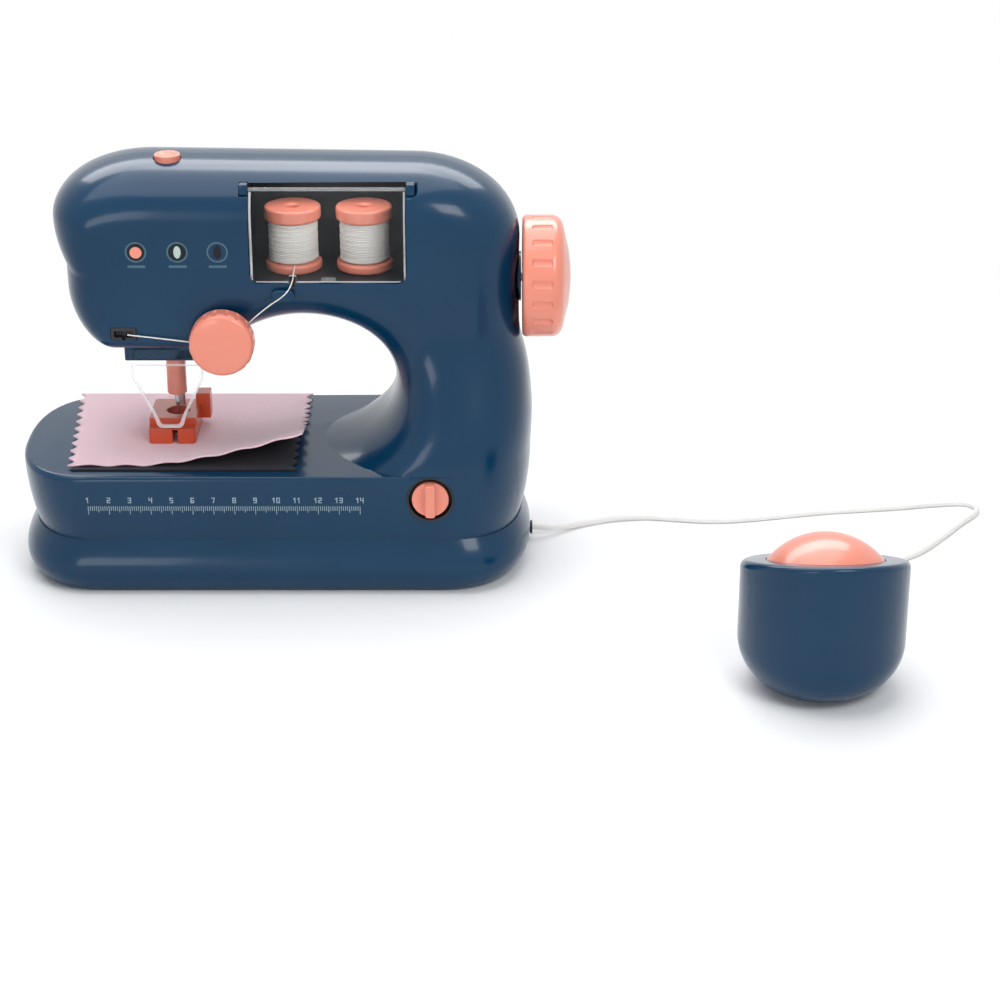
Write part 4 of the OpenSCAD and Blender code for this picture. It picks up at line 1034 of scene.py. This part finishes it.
TILT = Matrix.Rotation(-PEDAL_TILT, 3, "X")
TILT_AXIS = TILT @ Vector(UP)


def tilted(height):
    """A place on the axis of the pedal's tilted top."""
    return point(*PEDAL, PEDAL_MID) + TILT @ point(0, 0, height)


def bowl_profile(wall, steps):
    """Profile of the bowl, drawn in by its wall, up past its tilted top."""
    r = BOWL_R - wall
    return [(0, wall), *arc(PEDAL_R - BOWL_R, BOWL_R, r, r, -90, 0, steps), (PEDAL_R - wall, 90), (0, 90)]


def pedal_body():
    """Round bowl cut off by the tilted top, with a soft rim."""
    top, well = tilted(0), DOME_R + 0.5
    bm = solid(turned, bowl_profile(0, 16), point(*PEDAL, 0), UP, 144)
    bowl = finish_piece(bm, "pedal_body", "housing", "navy_plastic")
    cut_by(bowl, turned, [(0, 0), (120, 0), (120, 120), (0, 120)], top, TILT_AXIS, 48)
    with reopened(bowl) as bm:
        bmesh.ops.remove_doubles(bm, verts=bm.verts, dist=3e-5)
        bmesh.ops.dissolve_degenerate(bm, dist=3e-5, edges=bm.edges)
        bm.normal_update()
        rim = [e for e in bm.edges if e.is_manifold and e.calc_face_angle(0) > 0.35
               and all(abs((v.co - top).dot(TILT_AXIS)) < 1e-5 for v in e.verts)]
        soften(bm, rim, 3.2, 8)
    cut_by(bowl, turned, [(0, 0), (well, 0), (well, 40), (0, 40)], tilted(-20), TILT_AXIS, 128)
    cut = solid(turned, bowl_profile(WALL, 12), point(*PEDAL, 0), UP)
    bmesh.ops.bisect_plane(cut, geom=[*cut.verts, *cut.edges, *cut.faces], plane_co=tilted(-3.2),
                           plane_no=TILT_AXIS, clear_outer=True)
    bmesh.ops.holes_fill(cut, edges=open_edges(cut), sides=0)
    face_outward(cut)
    carve(bowl, cut)
    cut = solid(rod, point(*PEDAL, -1), PEDAL_R - BOWL_R, point(0, 0, 6), 96)
    rod(cut, point(*PEDAL, PEDAL_CORD_Z), GLAND_R, PEDAL_CORD_WAY * (60 * MM))
    carve(bowl, cut)
    bowl.data.shade_smooth()
    bowl.data.set_sharp_from_angle(angle=math.radians(30))


def pedal_dome():
    """Domed pad, hollow below, with a skirt and a stem."""
    r, h = DOME_R, DOME_H
    ball = (r * r + h * h) / (2 * h)
    reach = math.asin(r / ball)
    crown = [(ball * math.sin(reach * k / 24), h - ball * (1 - math.cos(reach * k / 24))) for k in range(25)]
    skirt = rounded([crown[-1], (r, -3.6), (r + 2, -3.6), (r + 2, -5.6), (r - 2.5, -5.6), (r - 2.5, -1),
                     (r - 8, 4), (5, h - 4.5), (5, -2), (0, -2)], 0.5)
    bm = solid(turned, crown + skirt[1:], tilted(0), TILT_AXIS, 128)
    finish_piece(bm, "pedal_dome", "pedal_pad", "coral_plastic")


def gland(name, start, way):
    """Ribbed strain relief round the cord."""
    bore, groove, length = 1.6, 2.9, way.length / MM
    ribs = []
    for k in range(5):
        h = length * (0.16 + 0.18 * k)
        ribs += [(GLAND_R, h - 0.5), (groove, h - 0.3), (groove, h + 0.3), (GLAND_R, h + 0.5)]
    profile = [(bore, 0), (GLAND_R, 0), *ribs, (GLAND_R - 0.1, length), (bore, length), (bore, 0)]
    bm = solid(turned, rounded(profile, 0.25, 3), start, way, 48)
    finish_piece(bm, name, "housing", "black_plastic")


pedal_body()
pedal_dome()
gland("pedal_gland", point(*PEDAL, PEDAL_CORD_Z) + PEDAL_CORD_WAY * (29 * MM), PEDAL_CORD_WAY * (12 * MM))
gland("cord_gland", point(117, CORD_Y, CORD_Z), point(11, 0, 0))


# Cord and thread

LAY = 1.55
CORD_RUN = [(119, CORD_Y, CORD_Z), (129, CORD_Y, CORD_Z), (137, 14.5, 4.4), (146, 20.5, 2.2)]
CORD_RUN += [(x, y, LAY) for x, y in (
    (155, 26), (164, 30), (176, 33), (189, 34), (202, 32), (215, 30), (228, 30), (241, 32), (254, 35),
    (267, 38), (280, 41), (294, 43), (307, 45), (320, 47), (334, 50), (347, 52), (356, 51.5), (360, 46),
    (357.5, 38), (349, 27), (339, 13), (329, -1), (321, -10), (312, -18), (304, -27), (299, -40), (295, -54),
    (291.5, -66))]
CORD_RUN += [(289.3, -79, 1.9)]
CORD_RUN += [(PEDAL[0] + r * PEDAL_CORD_WAY.x, PEDAL[1] + r * PEDAL_CORD_WAY.y, z)
             for r, z in ((62, 4), (52, 8.4), (43, 10.8), (30, PEDAL_CORD_Z))]
CORD_LINE = spline_points([point(*p) for p in CORD_RUN], 6)
cord_piece = tube_along("cord", CORD_LINE, CORD_R, 4, "housing", "cord_sheath")
CORD_LENGTH = sum((b - a).length for a, b in zip(CORD_LINE, CORD_LINE[1:]))
tuple(CORD_LINE[0])
[tuple(p) for p in CORD_LINE]

FACE, RUN_R = -ARM_HALF - 1.1, 0.3
THREAD_RUN = [
    (14.5, -18.4, 155), (14.5, -28, 154.4), (14.5, FACE - 0.3, 153.4), (12.5, FACE - 2, 149.5),
    (9, FACE - 2, 146), (3, FACE - 1, 141.5), (-6, FACE, 133.5), (-14, FACE, 124),
    (-19, FACE, 121.6), (-25, FACE, 122), (-36, FACE, 123.6), (-52, FACE, 125.6), (-64, FACE, 127)]
tube_along("thread_run", spline_points([point(*p) for p in THREAD_RUN], 5), RUN_R, 2, "housing", "thread")


# Cloth


def lift(x, y):
    """Rise of the upper sheet: its front right corner curls up, and its front edge is a little wavy."""
    away = Vector((74, -65)).normalized().dot(Vector((x + 62, y + 44)))
    curl = 16 * (max(0.0, away) / 58.6) ** 1.5
    wave = 0.45 * (1 + math.sin(0.35 * x)) * smooth((-y - 20) / 24)
    return curl + wave


def cloth(name, corners, z, raised, slot):
    """Pinked sheet over a four-sided plan: front left, front right, back left, back right."""
    teeth, tooth, across, fine = 10, 3.3, 60, 6
    q = [Vector(c) for c in corners]
    down = 2 * teeth * fine
    bm = bmesh.new()
    bmesh.ops.create_grid(bm, x_segments=across, y_segments=down, size=0.5)
    uv = bm.loops.layers.uv.new("map")
    spots = {}
    for v in bm.verts:
        u, w = v.co.x + 0.5, v.co.y + 0.5
        left, right = q[0].lerp(q[2], w), q[1].lerp(q[3], w)
        p = left.lerp(right, u)
        phase = (w * teeth) % 1.0
        zigzag = tooth * (abs(phase - 0.5) * 2 - 0.5)
        edge = max(0.0, 1 - u * across / 2) - max(0.0, 1 - (1 - u) * across / 2)
        x = p.x - zigzag * edge
        rise = lift(x, p.y) if raised else 0.0
        spots[v] = (x * MM, p.y * MM)
        v.co = point(x, p.y, z + 0.4 + rise)
    for face in bm.faces:
        for corner in face.loops:
            corner[uv].uv = spots[corner.vert]
    hole = [v for v in bm.verts if (v.co.xy - Vector((NEEDLE_X * MM, 0))).length < 2.4 * MM]
    bmesh.ops.delete(bm, geom=hole, context="VERTS")
    face_outward(bm)
    piece = finish_piece(bm, name, "housing", slot, angle=60)
    thick = piece.modifiers.new("thickness", "SOLIDIFY")
    thick.thickness, thick.offset = 0.8 * MM, 0.0
    return piece


# The dark sheet under the pink one: its near-black colour is partly painted shade for the shadow and dark
# reflection under the lifted corner.
under = cloth("cloth_under", ((-92, -47), (13, -47), (-97, 48), (11, 48)), BED_Z + 0.1, False, "dark_cloth")
upper = cloth("cloth_top", ((-94, -44), (16, -44), (-102, 51.5), (14, 51.5)), BED_Z + 1.0, True, "pink_cloth")


# Printed marks

PROUD = 0.06
STROKES = {
    "0": ["00 20 24 04 00"], "1": ["03 14 10"], "2": ["04 24 22 02 00 20"], "3": ["04 24 20 00", "02 22"],
    "4": ["04 02 22", "24 20"], "5": ["24 04 02 22 20 00"], "6": ["24 04 00 20 22 02"], "7": ["04 24 10"],
    "8": ["00 20 24 04 00", "02 22"], "9": ["22 02 04 24 20 00"]}


def stroke(bm, places, width):
    """A flat ribbon along places that faces the viewer."""
    half = width * MM / 2
    for a, b in zip(places, places[1:]):
        way = (b - a).normalized()
        across = way.cross(Vector(FRONT)).normalized() * half
        start, end = a - way * half, b + way * half
        flat_face(bm, [start + across, end + across, end - across, start - across])


def number(bm, text, x, place, size, width):
    """Stick digits centred on x; place(x, z) gives a point on the surface."""
    step, cell = size * 0.78, size * 0.25
    start = x - step * (len(text) - 1) / 2
    for n, digit in enumerate(text):
        for path in STROKES[digit]:
            spots = [place(start + n * step + (int(c[0]) - 1) * cell, int(c[1]) * cell) for c in path.split()]
            stroke(bm, spots, width)


def tub_face(x, z):
    """Front of the tub at a place, just proud of it."""
    x0, x1, depth = tub_sizes(z)
    into = max(0.0, (x0 + END_RUN - x) / END_RUN, (x - x1 + END_RUN) / END_RUN)
    return point(x, -depth * (1 - min(1.0, into) ** SOFT) ** (1 / SOFT) - PROUD, z)


def ruler():
    """Centimetre numbers and millimetre ticks along the front of the tub."""
    start, digits_z, ticks_z = -85.3, 48.3, 46.2
    bm = bmesh.new()
    for k in range(14):
        x = start + 10 * k
        number(bm, str(k + 1), x, lambda px, pz: tub_face(px, digits_z + pz), 2.5, 0.45)
        for j in range(10 if k < 13 else 1):
            size = 4.2 if j == 0 else 3.2 if j == 5 else 2.2
            stroke(bm, [tub_face(x + j, ticks_z - size), tub_face(x + j, ticks_z)], 0.32)
    finish_piece(bm, "ruler_print", "housing", "navy_plastic", "ruler_ink", extra=True)


def oval(x, y, z, wide, high):
    """Points of an upright oval that faces the viewer."""
    return [point(x + wide * u, y, z + high * w) for u, w in ring_of(40, 1.0)]


def icons():
    """Three plain round signs on the head with a bar under each."""
    rings, wells, dot, pill = (bmesh.new() for _ in range(4))
    y, z = -ARM_HALF - PROUD, 167.4
    for x, wide, high in ((-58.0, 4.1, 4.1), (-38.7, 4.1, 4.1), (-20.0, 1.9, 3.3)):
        loft(rings, [oval(x, y - 0.04, z, r, r) for r in (4.2, 5.0)], True)
        stroke(rings, [point(x - 3.6, y, z - 7.0), point(x + 3.6, y, z - 7.0)], 1.2)
        flat_face(wells, oval(x, y, z, wide, high))
    flat_face(dot, oval(-58.0, y - 0.08, z - 0.2, 2.8, 2.8))
    flat_face(pill, oval(-38.7, y - 0.08, z, 1.7, 3.0))
    for name, bm, ink in (("rings", rings, "faint_ink"), ("wells", wells, "dark_ink"),
                          ("dot", dot, "coral_ink"), ("pill", pill, "pale_ink")):
        finish_piece(bm, "icon_" + name, "housing", "navy_plastic", ink, extra=True)


ruler()
icons()


# Finish of the CAD nodes that show as they are

SLOT_OF = {part["node"]: part["material_slot"] for part in frame["record"]["subparts"]}
for name, piece in frame["nodes"].items():
    piece.data.materials.clear()
    piece.data.materials.append(LOOKS[SLOT_OF[name]])


# Stage


def camera_sees(tree):
    """One where the camera looks straight, by mirror or through clear plastic."""
    path = tree.nodes.new("ShaderNodeLightPath")
    seen = path.outputs["Is Camera Ray"]
    for ray in ("Is Glossy Ray", "Is Transmission Ray"):
        most = tree.nodes.new("ShaderNodeMath")
        most.operation = "MAXIMUM"
        tree.links.new(seen, most.inputs[0])
        tree.links.new(path.outputs[ray], most.inputs[1])
        seen = most.outputs[0]
    return seen


def mix_to_end(tree, share, low, high, end):
    """Sends a mix of two shaders to the output node."""
    mix = tree.nodes.new("ShaderNodeMixShader")
    for socket, source in zip(mix.inputs, (share, low, high)):
        tree.links.new(source, socket)
    tree.links.new(mix.outputs[0], end.inputs["Surface"])


def studio_world():
    """Cool light all round that the camera sees as a white backdrop."""
    world = bpy.data.worlds.new("studio")
    bpy.context.scene.world = world
    world.use_nodes = True
    tree = world.node_tree
    tree.nodes.clear()
    skies = []
    for shade, strength in (((0.95, 0.97, 1.0, 1.0), 0.42), ((1.0, 1.0, 1.0, 1.0), 1.0)):
        sky = tree.nodes.new("ShaderNodeBackground")
        sky.inputs["Color"].default_value = shade
        sky.inputs["Strength"].default_value = strength
        skies.append(sky.outputs[0])
    mix_to_end(tree, camera_sees(tree), *skies, tree.nodes.new("ShaderNodeOutputWorld"))


def pale_floor():
    """Pale floor that fades into the backdrop away from the machine."""
    bm = bmesh.new()
    bmesh.ops.create_grid(bm, x_segments=1, y_segments=1, size=3.0)
    floor = linked("floor", mesh_of(bm, "floor"))
    paint = Paint("pale_floor", Roughness=0.6)
    paint.colour(paint.noise(3.0), "f7f8f9", "fdfdfd")
    far = paint.node("ShaderNodeVectorMath", {"operation": "DISTANCE"},
                     {0: paint.where, 1: (0.1, -0.05, 0.0)}, output="Value")
    fade = paint.node("ShaderNodeMapRange", {"interpolation_type": "SMOOTHSTEP"}, [far, 0.3, 0.62, 0.0, 1.0])
    share = Value(paint, camera_sees(paint.tree)) * fade
    glow = paint.tree.nodes.new("ShaderNodeEmission")
    mix_to_end(paint.tree, share.socket, paint.shader.outputs[0], glow.outputs[0],
               paint.tree.nodes["Material Output"])
    floor.data.materials.append(paint.material)


def soft_lamp(name, place, aim, size, power, diffuse=True):
    """An area lamp; without diffuse it shows in reflections only."""
    data = bpy.data.lights.new(name, "AREA")
    data.shape, data.size, data.size_y = "RECTANGLE", size[0], size[1]
    data.energy = power
    lamp = linked(name, data)
    lamp.location = place
    lamp.rotation_euler = (Vector(aim) - Vector(place)).to_track_quat("-Z", "Y").to_euler()
    lamp.visible_camera, lamp.visible_diffuse = False, diffuse


def studio_camera():
    """The camera that fits the photo."""
    data = bpy.data.cameras.new("view")
    data.lens, data.sensor_width = 90.0, 36.0
    camera = linked("view", data)
    camera.location = (0.1116, -1.1484, 0.5263)
    camera.rotation_euler = (math.radians(66.46), 0, 0)
    bpy.context.scene.camera = camera


bpy.context.scene.view_settings.view_transform = "Standard"
studio_world()
pale_floor()
soft_lamp("key", (-0.1, 0.1, 1.3), (0.02, 0, 0.1), (1.7, 1.1), 15.0)
soft_lamp("fill", (0.62, -0.85, 0.95), (0.08, 0, 0.1), (0.5, 0.4), 5.0)
soft_lamp("front", (-0.5, -1.5, 0.35), (0.02, 0, 0.1), (0.5, 0.5), 3.0)
soft_lamp("bay", (0.03, -0.012, 0.1945), (0.03, -0.008, 0.15), (0.064, 0.014), 0.009)
soft_lamp("gleam", (0.0, 0.75, 0.95), (0.0, 0.0, 0.15), (1.6, 0.5), 14.0, diffuse=False)
studio_camera()
